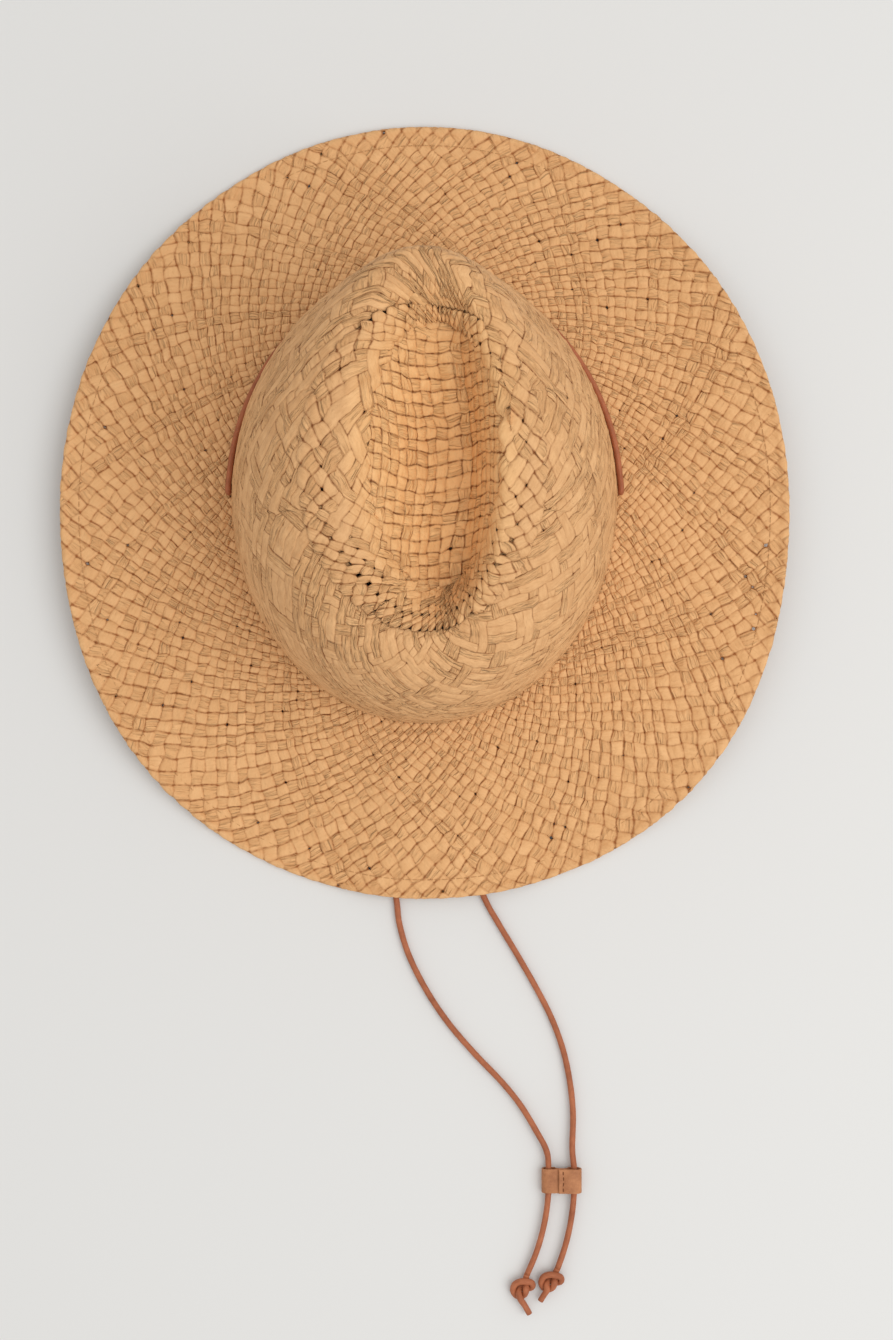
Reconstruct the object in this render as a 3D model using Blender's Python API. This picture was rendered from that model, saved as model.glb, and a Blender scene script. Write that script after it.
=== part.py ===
"""Straw sun hat: a woven crown with a teardrop dent, a wide woven brim with a wired hem, a sweatband,
and a leather chin cord with a sliding keeper and two end knots.

Metres, +Z up, +Y the front of the hat.  The hat stands on the hem of its brim, and the cord lies on the
same surface behind it.  The crown is woven in one piece; here its side and its top are two solids, which
meet at the ring of openwork just below the ridge.
"""
from math import asin, atan2, cos, exp, pi, radians, sin, sqrt

import bmesh
import bpy
from mathutils import Matrix, Vector

# Clearances between pieces that touch, and the number of facets round the hat
GAP = 0.0003
AROUND = 72

# Crown: foot, ridge round the top and floor of the dent, all on the outer surface
CROWN_HALF_WIDTH = 0.0885
CROWN_HALF_LENGTH = 0.1025
CROWN_CENTRE_Y = 0.004
CROWN_THICKNESS = 0.0011
FOOT_HEIGHT = 0.016
RIDGE_HALF_WIDTH = 0.0355
RIDGE_FRONT = 0.0985
RIDGE_REAR = 0.061
RIDGE_HEIGHT_FRONT = 0.121
RIDGE_HEIGHT_REAR = 0.106
WALL_POWER = 2.3
WALL_LEAN = 0.10
PINCH_DEPTH = 0.0035
PINCH_ANGLE = radians(45)
PINCH_SPREAD = 0.34
PINCH_HEIGHT = 0.74
PINCH_REACH = 0.2
DENT_CENTRE = Vector((0.0145, 0.010, 0.0))
DENT_SLANT = -0.03
DENT_HALF_WIDTH = 0.004
DENT_HALF_LENGTH = 0.043
DENT_FLOOR = 0.078
DENT_FRONT_RISE = 0.017
DENT_REAR_RISE = 0.004
WALL_SHARES = (0, 0.10, 0.24, 0.38, 0.52, 0.65, 0.76, 0.85, 0.92, 0.965)
TOP_SHARES = (0.985, 1, 1.14, 1.30, 1.46, 1.62, 1.78, 2)
SLOPE_STEP = 0.002

# Brim: outline, waves of the hem, folded hem with a wire in it, and a collar inside the crown
BRIM_HALF_WIDTH = 0.169
BRIM_HALF_LENGTH = 0.181
BULGE_LEFT = 0.0027
BULGE_RIGHT = 0.0050
BRIM_THICKNESS = 0.0009
BRIM_CURVE = 0.6
BRIM_SIDE_SAG = 0.003
SIDE_RISE = 0.013
SIDE_RISE_START = 0.5
REAR_RISE = 0.0046
REAR_RISE_CENTRE = 0.007
REAR_RISE_HALF_WIDTH = 0.058
REAR_RISE_SLOPE = 1.7
HEM_WIDTH = 0.009
WIRE_RADIUS = 0.0005
COLLAR_HEIGHT = 0.010
HOLE_OUTSET = 0.0022
HOLE_Y = 0.008
HOLE_RADIUS = 0.0017
HOLE_FACETS = 12
HOLE_CUTTER_DEPTH = 0.02

# Sweatband
BAND_THICKNESS = 0.001
BAND_HEIGHT = 0.030
BAND_CLEARANCE = 0.0007

# Chin cord, its keeper and knots
CORD_RADIUS = 0.0014
CORD_POINT_SPACING = 0.0138
CORD_BEND = 0.015
HOLE_BEND = 0.0022
CORD_JOIN = 4 * GAP
FRONT_START = radians(3.2)
FRONT_CLEARANCE = 2 * GAP
STRAND_DROP = (0.0004, -0.0040, -0.0050)
# Both strands end in arcs round one upright line, about which the keeper turns as it slides along them
ARC_CENTRE = Vector((-0.0433, -0.3130, 0.0))
ARC_LEFT = 0.1013
ARC_RIGHT = 0.1133
ARC_TOP = radians(7.5)
ARC_END_LEFT = radians(-25.8)
ARC_END_RIGHT = radians(-21.4)
KEEPER_WIDTH = 0.0188
KEEPER_LENGTH = 0.0113
KEEPER_SKIN = 0.0009
KEEPER_OVERLAP = 0.0109
KEEPER_TUNNEL = 0.00185
TUNNEL_FACETS = 14
KEEPER_LIFT = 0.0002
KEEPER_EDGE_SLOPE = 0.0004
KEEPER_EDGE_SHARE = 0.7
KNOT_CORD_RADIUS = 0.0011
KNOT_UNIT = 0.0024
KNOT_START = 2 * GAP
KNOT_NEIGHBOUR = 0.006

KEEPER_HEIGHT = 2 * KEEPER_SKIN + 2 * KEEPER_TUNNEL
CORD_LIFT = KEEPER_LIFT + KEEPER_SKIN + KEEPER_TUNNEL

# Strands under and behind the brim, as (x, y, z), from the hole in the brim to the start of the arcs
LEFT_ROUTE = [
    (-0.0925, -0.008, 0.0022), (-0.0945, -0.036, 0.0015), (-0.0850, -0.079, 0.0015),
    (-0.0580, -0.115, 0.0015), (-0.0310, -0.140, 0.0015), (-0.0175, -0.160, 0.0015),
    (-0.0135, -0.181, 0.0015), (-0.0120, -0.193, 0.0015), (-0.0075, -0.208, 0.0015),
    (0.0008, -0.2245, 0.0015), (0.0111, -0.2398, 0.0015), (0.0235, -0.2542, 0.0016),
    (0.0360, -0.2672, 0.0019), (0.0449, -0.2782, 0.0023), (0.0523, -0.2903, 0.0027),
]
RIGHT_ROUTE = [
    (0.0925, -0.008, 0.0022), (0.0955, -0.038, 0.0015), (0.0880, -0.078, 0.0015),
    (0.0660, -0.110, 0.0015), (0.0410, -0.128, 0.0015), (0.0245, -0.145, 0.0015),
    (0.0213, -0.163, 0.0015), (0.0279, -0.181, 0.0015), (0.0345, -0.193, 0.0015),
    (0.0428, -0.2068, 0.0015), (0.0517, -0.2223, 0.0015), (0.0593, -0.2372, 0.0015),
    (0.0648, -0.2523, 0.0017), (0.0680, -0.2675, 0.0021), (0.0694, -0.2820, 0.0026),
]

# An overhand knot, in units of KNOT_UNIT: the strand comes in from +Y and the tail leaves towards -Y
KNOT_ROUTE = [
    (0.72, 2.38, 0.0), (0.58, 1.92, -0.14), (0.50, 1.10, -0.60), (0.52, 0.25, 0.02), (0.50, -0.50, 0.55),
    (0.34, -1.40, 0.12), (-0.40, -2.12, -0.56), (-1.42, -1.86, -0.52), (-1.98, -0.80, -0.20),
    (-1.66, 0.42, 0.28), (-0.66, 1.06, 0.56), (0.50, 1.12, 0.60), (1.52, 0.86, 0.34),
    (1.80, 0.06, -0.14), (1.30, -0.46, -0.56), (0.42, -0.52, -0.66), (-0.50, -0.44, -0.56),
    (-0.88, -1.02, 0.12), (-0.72, -1.92, 0.62),
]
LEFT_KNOT_TAIL = [(-0.30, -2.80, 0.24), (0.25, -3.60, 0.0), (0.85, -4.60, 0.0), (1.30, -5.40, 0.0)]
RIGHT_KNOT_TAIL = [(-0.95, -2.80, 0.24), (-1.25, -3.60, 0.0), (-1.60, -4.50, 0.0)]
LEFT_KNOT_TURN = radians(25)
RIGHT_KNOT_TURN = radians(12)
KNOT_POINTS = 44

STRAW = (0.80, 0.58, 0.36)
STRAW_SHADE = (0.76, 0.54, 0.33)
LEATHER = (0.42, 0.16, 0.075)
LEATHER_LIGHT = (0.44, 0.20, 0.10)
STEEL = (0.55, 0.55, 0.56)
BAND_CLOTH = (0.72, 0.60, 0.44)


# ---------------------------------------------------------------- small helpers

def smooth(value):
    """Ease from 0 to 1 with level ends."""
    value = min(1.0, max(0.0, value))
    return value * value * (3 - 2 * value)


def blend(start, end, share):
    return start + (end - start) * share


def new_collection(name):
    collection = bpy.data.collections.new(name)
    bpy.context.scene.collection.children.link(collection)
    return collection


def material(name, color, roughness, metallic=0.0):
    """A plain Principled material."""
    made = bpy.data.materials.new(name)
    made.use_nodes = True
    shader = made.node_tree.nodes["Principled BSDF"]
    shader.inputs["Base Color"].default_value = (*color, 1.0)
    shader.inputs["Roughness"].default_value = roughness
    shader.inputs["Metallic"].default_value = metallic
    return made


def finish(obj, collection, color, roughness, metallic=0.0):
    """Link a new object, give it its own material and shade it smooth."""
    if not obj.users_collection:
        collection.objects.link(obj)
    obj.data.materials.append(material(obj.name, color, roughness, metallic))
    if obj.type == "MESH":
        obj.data.shade_smooth()
        obj.data.set_sharp_from_angle(angle=radians(40))
    return obj


def mesh_object(name, bm):
    mesh = bpy.data.meshes.new(name)
    bmesh.ops.recalc_face_normals(bm, faces=bm.faces)
    bm.to_mesh(mesh)
    bm.free()
    return bpy.data.objects.new(name, mesh)


def loft(bm, rings, closed=False):
    """Faces between rings of equal length; closed joins the last ring to the first."""
    rows = [[bm.verts.new(point) for point in ring] for ring in rings]
    pairs = list(zip(rows, rows[1:]))
    if closed:
        pairs.append((rows[-1], rows[0]))
    for low, high in pairs:
        for k in range(len(low)):
            after = (k + 1) % len(low)
            bm.faces.new((low[k], low[after], high[after], high[k]))
    return rows


def angles():
    """The directions of the facets' corners round the hat."""
    return [2 * pi * (k + 0.5) / AROUND for k in range(AROUND)]


# ---------------------------------------------------------------- crown

def foot_point(angle, outset=0.0):
    """A point of the crown's foot oval, moved out along the oval's normal."""
    normal = Vector((cos(angle) / CROWN_HALF_WIDTH, sin(angle) / CROWN_HALF_LENGTH, 0)).normalized()
    x = CROWN_HALF_WIDTH * cos(angle)
    y = CROWN_CENTRE_Y + CROWN_HALF_LENGTH * sin(angle)
    return Vector((x, y, 0)) + normal * outset


def ridge_point(angle):
    """The crest round the top: an egg, long to the front, falling towards the rear."""
    reach = RIDGE_FRONT if sin(angle) > 0 else RIDGE_REAR
    rise = 0.5 + 0.5 * sin(angle)
    height = blend(RIDGE_HEIGHT_REAR, RIDGE_HEIGHT_FRONT, rise)
    return Vector((RIDGE_HALF_WIDTH * cos(angle), reach * sin(angle), height))


def wall_inset(share):
    """How far the wall has come from foot to ridge at this share of its height."""
    lift = share ** (WALL_POWER / 2)
    turn = 1 - sqrt(max(0.0, 1 - lift * lift)) ** (2 / WALL_POWER)
    return WALL_LEAN * share + (1 - WALL_LEAN) * turn


def pinch(angle, share):
    """Depth of the two finger pinches beside the front of the crown."""
    depth = 0.0
    for centre in (PINCH_ANGLE, pi - PINCH_ANGLE):
        across = (angle - centre) / PINCH_SPREAD
        up = (share - PINCH_HEIGHT) / PINCH_REACH
        depth += PINCH_DEPTH * exp(-across * across - up * up)
    return depth


def wall_point(angle, share, outset=0.0):
    """A point of the crown's wall; share is 0 at the foot and 1 on the ridge."""
    foot = foot_point(angle)
    ridge = ridge_point(angle)
    point = foot.lerp(ridge, wall_inset(share))
    normal = (foot_point(angle, 1.0) - foot).normalized()
    point += normal * (outset - pinch(angle, share))
    point.z = blend(FOOT_HEIGHT + GAP, ridge.z, share)
    return point


def dent_floor(y):
    """Height of the dent's floor, which climbs towards the front and a little at the rear."""
    along = (y - DENT_CENTRE.y) / DENT_HALF_LENGTH
    rise = DENT_FRONT_RISE if along > 0 else DENT_REAR_RISE
    return DENT_FLOOR + rise * along * along


def dent_point(angle, share):
    """A point of the dent; share is 0 on the ridge and 1 on the floor's edge."""
    ridge = ridge_point(angle)
    offset = Vector((DENT_HALF_WIDTH * cos(angle), DENT_HALF_LENGTH * sin(angle), 0))
    floor = DENT_CENTRE + offset
    floor.x += DENT_SLANT * offset.y
    floor.z = dent_floor(floor.y)
    point = ridge.lerp(floor, share)
    point.z = blend(floor.z, ridge.z, 0.5 + 0.5 * cos(pi * share))
    return point


def crown_point(angle, share):
    """A point of the crown; share is 0 at the foot, 1 on the ridge and 2 on the dent's floor."""
    return wall_point(angle, share) if share <= 1 else dent_point(angle, share - 1)


def crown_ring(share, depth=0.0):
    """One ring of the crown, sunk below the outer surface by this depth."""
    ring = []
    for angle in angles():
        point = crown_point(angle, share)
        low = crown_point(angle, max(0.0, share - SLOPE_STEP))
        high = crown_point(angle, min(2.0, share + SLOPE_STEP))
        side = crown_point(angle + SLOPE_STEP, share) - crown_point(angle - SLOPE_STEP, share)
        ring.append(point - side.cross(high - low).normalized() * depth)
    return ring


def make_crown(collection):
    """The side of the crown, from its foot to just outside the ridge."""
    rings = [crown_ring(share) for share in WALL_SHARES]
    rings += [crown_ring(share, CROWN_THICKNESS) for share in reversed(WALL_SHARES)]
    bm = bmesh.new()
    loft(bm, rings, closed=True)
    return finish(mesh_object("crown", bm), collection, STRAW, 0.75)


def close_floor(bm, ring):
    """Faces across the narrow oval of the dent's floor."""
    half = AROUND // 2
    for k in range(half // 2 - 1, -half // 2, -1):
        bm.faces.new((ring[k], ring[k - 1], ring[half - k], ring[half - 1 - k]))


def make_crown_top(collection):
    """The top of the crown: the ridge and the dent, a hair inside the crown's side."""
    start, after = crown_ring(WALL_SHARES[-1]), crown_ring(TOP_SHARES[0])
    least = min((low - high).length for low, high in zip(start, after))
    shares = (blend(WALL_SHARES[-1], TOP_SHARES[0], GAP / least),) + TOP_SHARES
    rings = [crown_ring(share, CROWN_THICKNESS) for share in reversed(shares)]
    rings += [crown_ring(share) for share in shares]
    bm = bmesh.new()
    rows = loft(bm, rings)
    close_floor(bm, rows[0])
    close_floor(bm, rows[-1])
    return finish(mesh_object("crown_top", bm), collection, STRAW, 0.75)


# ---------------------------------------------------------------- brim

def edge_point(angle):
    """The brim's outline, reached along the normal of the crown's foot."""
    foot = foot_point(angle)
    normal = (foot_point(angle, 1.0) - foot).normalized()
    a = (normal.x / BRIM_HALF_WIDTH) ** 2 + (normal.y / BRIM_HALF_LENGTH) ** 2
    b = foot.x * normal.x / BRIM_HALF_WIDTH ** 2 + foot.y * normal.y / BRIM_HALF_LENGTH ** 2
    c = (foot.x / BRIM_HALF_WIDTH) ** 2 + (foot.y / BRIM_HALF_LENGTH) ** 2 - 1
    oval = foot + normal * ((-b + sqrt(b * b - a * c)) / a)
    if oval.y > 0:
        return oval
    bulge = BULGE_LEFT if oval.x < 0 else BULGE_RIGHT
    return oval + normal * bulge * sin(2 * atan2(oval.y, oval.x)) ** 2


def hem_height(point):
    """Height of the hem's underside: level at the front and beside the rear, raised between."""
    across = abs(point.x) / BRIM_HALF_WIDTH
    height = SIDE_RISE * smooth((across - SIDE_RISE_START) / (1 - SIDE_RISE_START))
    if point.y < 0:
        offset = abs(point.x - REAR_RISE_CENTRE) / REAR_RISE_HALF_WIDTH
        height += REAR_RISE * smooth(REAR_RISE_SLOPE * (1 - offset))
    return height


def brim_line(angle):
    """The middle line of the brim's section, as (distance from the foot, height) pairs."""
    edge = edge_point(angle)
    width = (edge - foot_point(angle)).length
    hem = hem_height(edge)
    half = BRIM_THICKNESS / 2
    loop = WIRE_RADIUS + GAP + half
    flap = hem + half
    sheet = flap + BRIM_THICKNESS + GAP
    foot = FOOT_HEIGHT - half
    collar = -(CROWN_THICKNESS + GAP + half)
    span = width - HEM_WIDTH
    line = []
    for step in (1.0, 0.5):
        share = step * COLLAR_HEIGHT / (ridge_point(angle).z - FOOT_HEIGHT)
        inset = (foot_point(angle) - wall_point(angle, share)).xy.length
        line.append((collar - inset, FOOT_HEIGHT + step * COLLAR_HEIGHT))
    line.append((collar, foot))
    side = smooth((abs(edge.x) / BRIM_HALF_WIDTH - SIDE_RISE_START) / (1 - SIDE_RISE_START))
    for share in (0.14, 0.30, 0.48, 0.66, 0.84):
        fall = (1 - share) ** 2 * (1 + BRIM_CURVE * share)
        sag = BRIM_SIDE_SAG * side * sin(pi * share)
        line.append((span * share, blend(sheet, foot, fall) - sag))
    line.append((span, sheet))
    centre = width - loop - half
    line.append((width - 0.55 * HEM_WIDTH, sheet))
    for turn in (90, 30, -30, -90):
        direction = radians(turn)
        line.append((centre + loop * cos(direction), flap + loop + loop * sin(direction)))
    line.append((width - 0.45 * HEM_WIDTH, flap))
    line.append((span, flap))
    return line


def thicken(line, thickness):
    """The closed outline of a sheet's section, from its middle line."""
    upper, lower = [], []
    for k, (x, z) in enumerate(line):
        before = line[max(k - 1, 0)]
        after = line[min(k + 1, len(line) - 1)]
        first = Vector((x - before[0], z - before[1]))
        second = Vector((after[0] - x, after[1] - z))
        first = first.normalized() if first.length else second.normalized()
        second = second.normalized() if second.length else first
        normal = Vector((-first.y - second.y, first.x + second.x)).normalized()
        reach = thickness / 2 / max(0.5, normal.dot(Vector((-first.y, first.x))))
        upper.append((x + normal.x * reach, z + normal.y * reach))
        lower.append((x - normal.x * reach, z - normal.y * reach))
    return upper + lower[::-1]


def brim_section(angle):
    """One section of the brim in space."""
    foot = foot_point(angle)
    normal = (foot_point(angle, 1.0) - foot).normalized()
    outline = thicken(brim_line(angle), BRIM_THICKNESS)
    return [foot + normal * x + Vector((0, 0, z)) for x, z in outline]


def cord_hole(side):
    """Where the cord goes through the brim, beside the crown; side is -1 left and 1 right."""
    angle = asin((HOLE_Y - CROWN_CENTRE_Y) / CROWN_HALF_LENGTH)
    point = foot_point(angle, HOLE_OUTSET)
    point.x *= side
    return point


def make_brim(collection, cutters):
    """Collar, sheet and folded hem, with the two holes for the cord."""
    bm = bmesh.new()
    loft(bm, [brim_section(angle) for angle in angles()], closed=True)
    brim = mesh_object("brim", bm)
    for side, name in ((-1, "left"), (1, "right")):
        bpy.ops.mesh.primitive_cylinder_add(vertices=HOLE_FACETS, radius=HOLE_RADIUS,
                                            depth=HOLE_CUTTER_DEPTH)
        cutter = bpy.context.object
        cutter.name = f"{name}_hole_cutter"
        cutter.location = cord_hole(side) + Vector((0, 0, FOOT_HEIGHT))
        cutter.hide_render = True
        cutter.display_type = "WIRE"
        for owner in cutter.users_collection:
            owner.objects.unlink(cutter)
        cutters.objects.link(cutter)
        cut = brim.modifiers.new(f"{name}_hole", "BOOLEAN")
        cut.operation = "DIFFERENCE"
        cut.object = cutter
    return finish(brim, collection, STRAW_SHADE, 0.75)


def make_wire(collection):
    """The wire in the fold of the hem."""
    points = []
    inset = WIRE_RADIUS + GAP + BRIM_THICKNESS
    for angle in angles():
        edge = edge_point(angle)
        inward = (foot_point(angle) - edge).normalized()
        height = hem_height(edge) + inset
        points.append(edge + inward * inset + Vector((0, 0, height)))
    return tube("brim_wire", points, WIRE_RADIUS, collection, STEEL, 0.35, sides=1, ring=True, metallic=1.0)


# ---------------------------------------------------------------- sweatband

def make_sweatband(collection):
    """A band of cloth inside the foot of the crown, following its wall."""
    inset = CROWN_THICKNESS + BRIM_THICKNESS + BAND_CLEARANCE
    outer, inner = [], []
    for step in (0, 0.5, 1):
        share = step * BAND_HEIGHT / (RIDGE_HEIGHT_FRONT - FOOT_HEIGHT)
        outer.append([wall_point(angle, share, -inset) for angle in angles()])
        inner.append([wall_point(angle, share, -inset - BAND_THICKNESS) for angle in angles()])
    bm = bmesh.new()
    loft(bm, outer + inner[::-1], closed=True)
    return finish(mesh_object("sweatband", bm), collection, BAND_CLOTH, 0.85)


# ---------------------------------------------------------------- cord

def through(points, steps=12):
    """A dense smooth curve through the points (Catmull-Rom)."""
    points = [Vector(point) for point in points]
    ends = [2 * points[0] - points[1]] + points + [2 * points[-1] - points[-2]]
    curve = []
    for p0, p1, p2, p3 in zip(ends, ends[1:], ends[2:], ends[3:]):
        for k in range(steps):
            t = k / steps
            curve.append(0.5 * (2 * p1 + (p2 - p0) * t + (2 * p0 - 5 * p1 + 4 * p2 - p3) * t ** 2
                                + (3 * p1 - p0 - 3 * p2 + p3) * t ** 3))
    curve.append(points[-1])
    return curve


def even(curve, count, bend=0.0):
    """The same curve with this many points; a bend length draws them together where it turns."""
    reach = [0.0]
    for k in range(1, len(curve)):
        step = curve[k] - curve[k - 1]
        turn = step.angle(curve[k - 1] - curve[k - 2], 0.0) if k > 1 else 0.0
        reach.append(reach[-1] + step.length + bend * turn)
    spaced, k = [], 0
    for step in range(count):
        target = reach[-1] * step / (count - 1)
        while k < len(curve) - 2 and reach[k + 1] < target:
            k += 1
        share = (target - reach[k]) / max(1e-9, reach[k + 1] - reach[k])
        spaced.append(curve[k].lerp(curve[k + 1], share))
    return spaced


def length(points):
    return sum((after - before).length for before, after in zip(points, points[1:]))


def tube(name, points, radius, collection, color, roughness, sides=2, ring=False, metallic=0.0):
    """A round tube along the points, with closed ends unless it is a ring."""
    curve = bpy.data.curves.new(name, "CURVE")
    curve.dimensions = "3D"
    curve.bevel_depth = radius
    curve.bevel_resolution = sides
    curve.use_fill_caps = not ring
    spline = curve.splines.new("POLY")
    spline.points.add(len(points) - 1)
    for target, point in zip(spline.points, points):
        target.co = (*point, 1.0)
    spline.use_cyclic_u = ring
    return finish(bpy.data.objects.new(name, curve), collection, color, roughness, metallic)


def brim_top(angle, outset):
    """Height of the brim's upper face close to the crown."""
    line = brim_line(angle)
    outer = next(k for k in range(3, len(line)) if line[k][0] > outset)
    (x0, z0), (x1, z1) = line[outer - 1], line[outer]
    return blend(z0, z1, (outset - x0) / (x1 - x0)) + BRIM_THICKNESS / 2


def front_cord_points():
    """Up through one hole, round the front of the crown on the brim, and down through the other."""
    hole = cord_hole(1)
    bottom = FOOT_HEIGHT - BRIM_THICKNESS - CORD_JOIN
    start = atan2((hole.y - CROWN_CENTRE_Y) / CROWN_HALF_LENGTH, hole.x / CROWN_HALF_WIDTH)
    quarter = []
    for step in range(11):
        angle = blend(start + FRONT_START, pi / 2, step / 10)
        point = foot_point(angle, HOLE_OUTSET)
        point.z = brim_top(angle, HOLE_OUTSET) + CORD_RADIUS + FRONT_CLEARANCE
        quarter.append(point)
    bend = quarter[0].z
    rise = [hole + Vector((0, 0, bottom)), hole + Vector((0, 0, bottom + HOLE_BEND))]
    for turn in (radians(15), radians(70)):
        rise.append(hole + Vector((0, HOLE_BEND * (1 - cos(turn)), bend - HOLE_BEND * (1 - sin(turn)) * 0.5)))
    half = rise + quarter
    return half + [Vector((-p.x, p.y, p.z)) for p in reversed(half[:-1])]


def strand_points(side, route, radius, end):
    """A strand from under the brim, along its route and on down its arc to the knot."""
    hole = cord_hole(side)
    top = Vector((hole.x, hole.y, FOOT_HEIGHT - BRIM_THICKNESS - CORD_JOIN - GAP))
    below = top - Vector((0, 0, 2 * CORD_RADIUS))
    outwards, back, down = STRAND_DROP
    drop = [below, below + Vector((outwards * side, back, down))]
    arc = []
    turns = 6
    for k in range(turns + 1):
        angle = blend(ARC_TOP, end, k / turns)
        point = ARC_CENTRE + Vector((cos(angle), sin(angle), 0)) * radius
        point.z = CORD_LIFT
        arc.append(point)
    curve = through(drop + route + arc)
    return [top] + even(curve, round(length(curve) / CORD_POINT_SPACING), CORD_BEND)


def knot_points(tail, turn, place):
    """The overhand knot and its tail, turned and moved to the end of its strand."""
    curve = even(through(KNOT_ROUTE + tail, 16), KNOT_POINTS)
    start = Vector(KNOT_ROUTE[0])
    frame = Matrix.Translation(place) @ Matrix.Rotation(turn, 4, "Z") @ Matrix.Scale(KNOT_UNIT, 4)
    return [frame @ (point - start) for point in curve]


def least_gap(points, radius, apart):
    """The least space between two stretches of a tube that are some way apart along it."""
    dense = even(points, 4 * len(points))
    step = length(dense) / len(dense)
    skip = int(apart / step)
    least = min((dense[j] - dense[k]).length for k in range(len(dense)) for j in range(k + skip, len(dense)))
    return least - 2 * radius


def make_knot(name, radius, end, tail, turn, collection):
    """The knot at the end of a strand."""
    along = Vector((sin(end), -cos(end), 0))
    place = ARC_CENTRE + Vector((cos(end), sin(end), 0)) * radius + along * KNOT_START
    place.z = CORD_LIFT
    heading = atan2(along.y, along.x) + pi / 2
    points = knot_points(tail, heading + turn, place)
    print(f"{name}: least gap {least_gap(points, KNOT_CORD_RADIUS, KNOT_NEIGHBOUR) * 1000:.2f} mm, "
          f"lowest {(min(p.z for p in points) - KNOT_CORD_RADIUS) * 1000:.2f} mm")
    return tube(name, points, KNOT_CORD_RADIUS, collection, LEATHER, 0.6)


def make_cord(collection):
    """The front loop, both strands and both knots."""
    front = front_cord_points()
    tube("chin_cord_front", front, CORD_RADIUS, collection, LEATHER, 0.6)
    left = strand_points(-1, LEFT_ROUTE, ARC_LEFT, ARC_END_LEFT)
    tube("chin_cord_left", left, CORD_RADIUS, collection, LEATHER, 0.6)
    right = strand_points(1, RIGHT_ROUTE, ARC_RIGHT, ARC_END_RIGHT)
    tube("chin_cord_right", right, CORD_RADIUS, collection, LEATHER, 0.6)
    make_knot("left_knot", ARC_LEFT, ARC_END_LEFT, LEFT_KNOT_TAIL, LEFT_KNOT_TURN, collection)
    make_knot("right_knot", ARC_RIGHT, ARC_END_RIGHT, RIGHT_KNOT_TAIL, RIGHT_KNOT_TURN, collection)
    for name, points in (("front", front), ("left", left), ("right", right)):
        print(f"chin cord, {name}: {length(points) * 1000:.0f} mm in {len(points)} points")


# ---------------------------------------------------------------- keeper on the cord

def keeper_outline():
    """The wrapped strip's section: round ends, and the overlapping end as a step on top."""
    middle = (ARC_LEFT + ARC_RIGHT) / 2
    left = middle - KEEPER_WIDTH / 2
    right = middle + KEEPER_WIDTH / 2
    step = right - KEEPER_OVERLAP
    radius = KEEPER_HEIGHT / 2
    top_radius = (KEEPER_HEIGHT + KEEPER_SKIN) / 2
    outline = []
    for k in range(7):
        turn = radians(-90 - 30 * k)
        outline.append((left + radius + radius * cos(turn), radius + radius * sin(turn)))
    outline.append((step - KEEPER_EDGE_SLOPE / 2, KEEPER_HEIGHT))
    outline.append((step, KEEPER_HEIGHT + KEEPER_EDGE_SHARE * KEEPER_SKIN))
    outline.append((step + KEEPER_EDGE_SLOPE, KEEPER_HEIGHT + KEEPER_SKIN))
    for k in range(7):
        turn = radians(90 - 30 * k)
        outline.append((right - top_radius + top_radius * cos(turn), top_radius + top_radius * sin(turn)))
    return outline


def make_keeper(collection):
    """The leather keeper: the section with its two tunnels, drawn out along the cords."""
    curve = bpy.data.curves.new("cord_slider", "CURVE")
    curve.dimensions = "2D"
    curve.fill_mode = "BOTH"
    curve.extrude = KEEPER_LENGTH / 2
    tunnels = []
    for radius in (ARC_LEFT, ARC_RIGHT):
        centre = (radius, KEEPER_SKIN + KEEPER_TUNNEL)
        turns = [2 * pi * k / TUNNEL_FACETS for k in range(TUNNEL_FACETS)]
        tunnels.append([(centre[0] + KEEPER_TUNNEL * cos(turn), centre[1] + KEEPER_TUNNEL * sin(turn))
                        for turn in turns])
    for outline in [keeper_outline()] + tunnels:
        spline = curve.splines.new("POLY")
        spline.points.add(len(outline) - 1)
        for target, (x, z) in zip(spline.points, outline):
            target.co = (x, z, 0, 1)
        spline.use_cyclic_u = True
    keeper = bpy.data.objects.new("cord_slider", curve)
    pivot = bpy.data.objects.new("slider_axis", None)
    pivot.location = ARC_CENTRE + Vector((0, 0, KEEPER_LIFT))
    collection.objects.link(pivot)
    keeper.parent = pivot
    keeper.rotation_euler = (radians(90), 0, 0)
    return finish(keeper, collection, LEATHER_LIGHT, 0.7)


def build():
    """The whole hat."""
    for obj in list(bpy.data.objects):
        bpy.data.objects.remove(obj, do_unlink=True)
    hat = new_collection("straw_sun_hat")
    cutters = new_collection("cutters")
    make_crown(hat)
    make_crown_top(hat)
    make_brim(hat, cutters)
    make_wire(hat)
    make_sweatband(hat)
    make_cord(hat)
    make_keeper(hat)


build()
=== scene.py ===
# %% [markdown]
# # A woven straw sun hat
# The hat is one woven shell of flat paper straw: a crown with a long dent, and a wide brim whose edge is
# folded under round a wire.  A round leather cord lies round the front of the crown, goes down through the
# brim at both sides and comes out behind, where both ends pass through a leather keeper and end in knots.
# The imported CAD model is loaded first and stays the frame: every visible piece is put where it says.

# %% Load the frame
from math import atan2, asin, cos, pi, radians, sin, sqrt

import bpy
import numpy as np
from mathutils import Matrix, Vector


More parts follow.
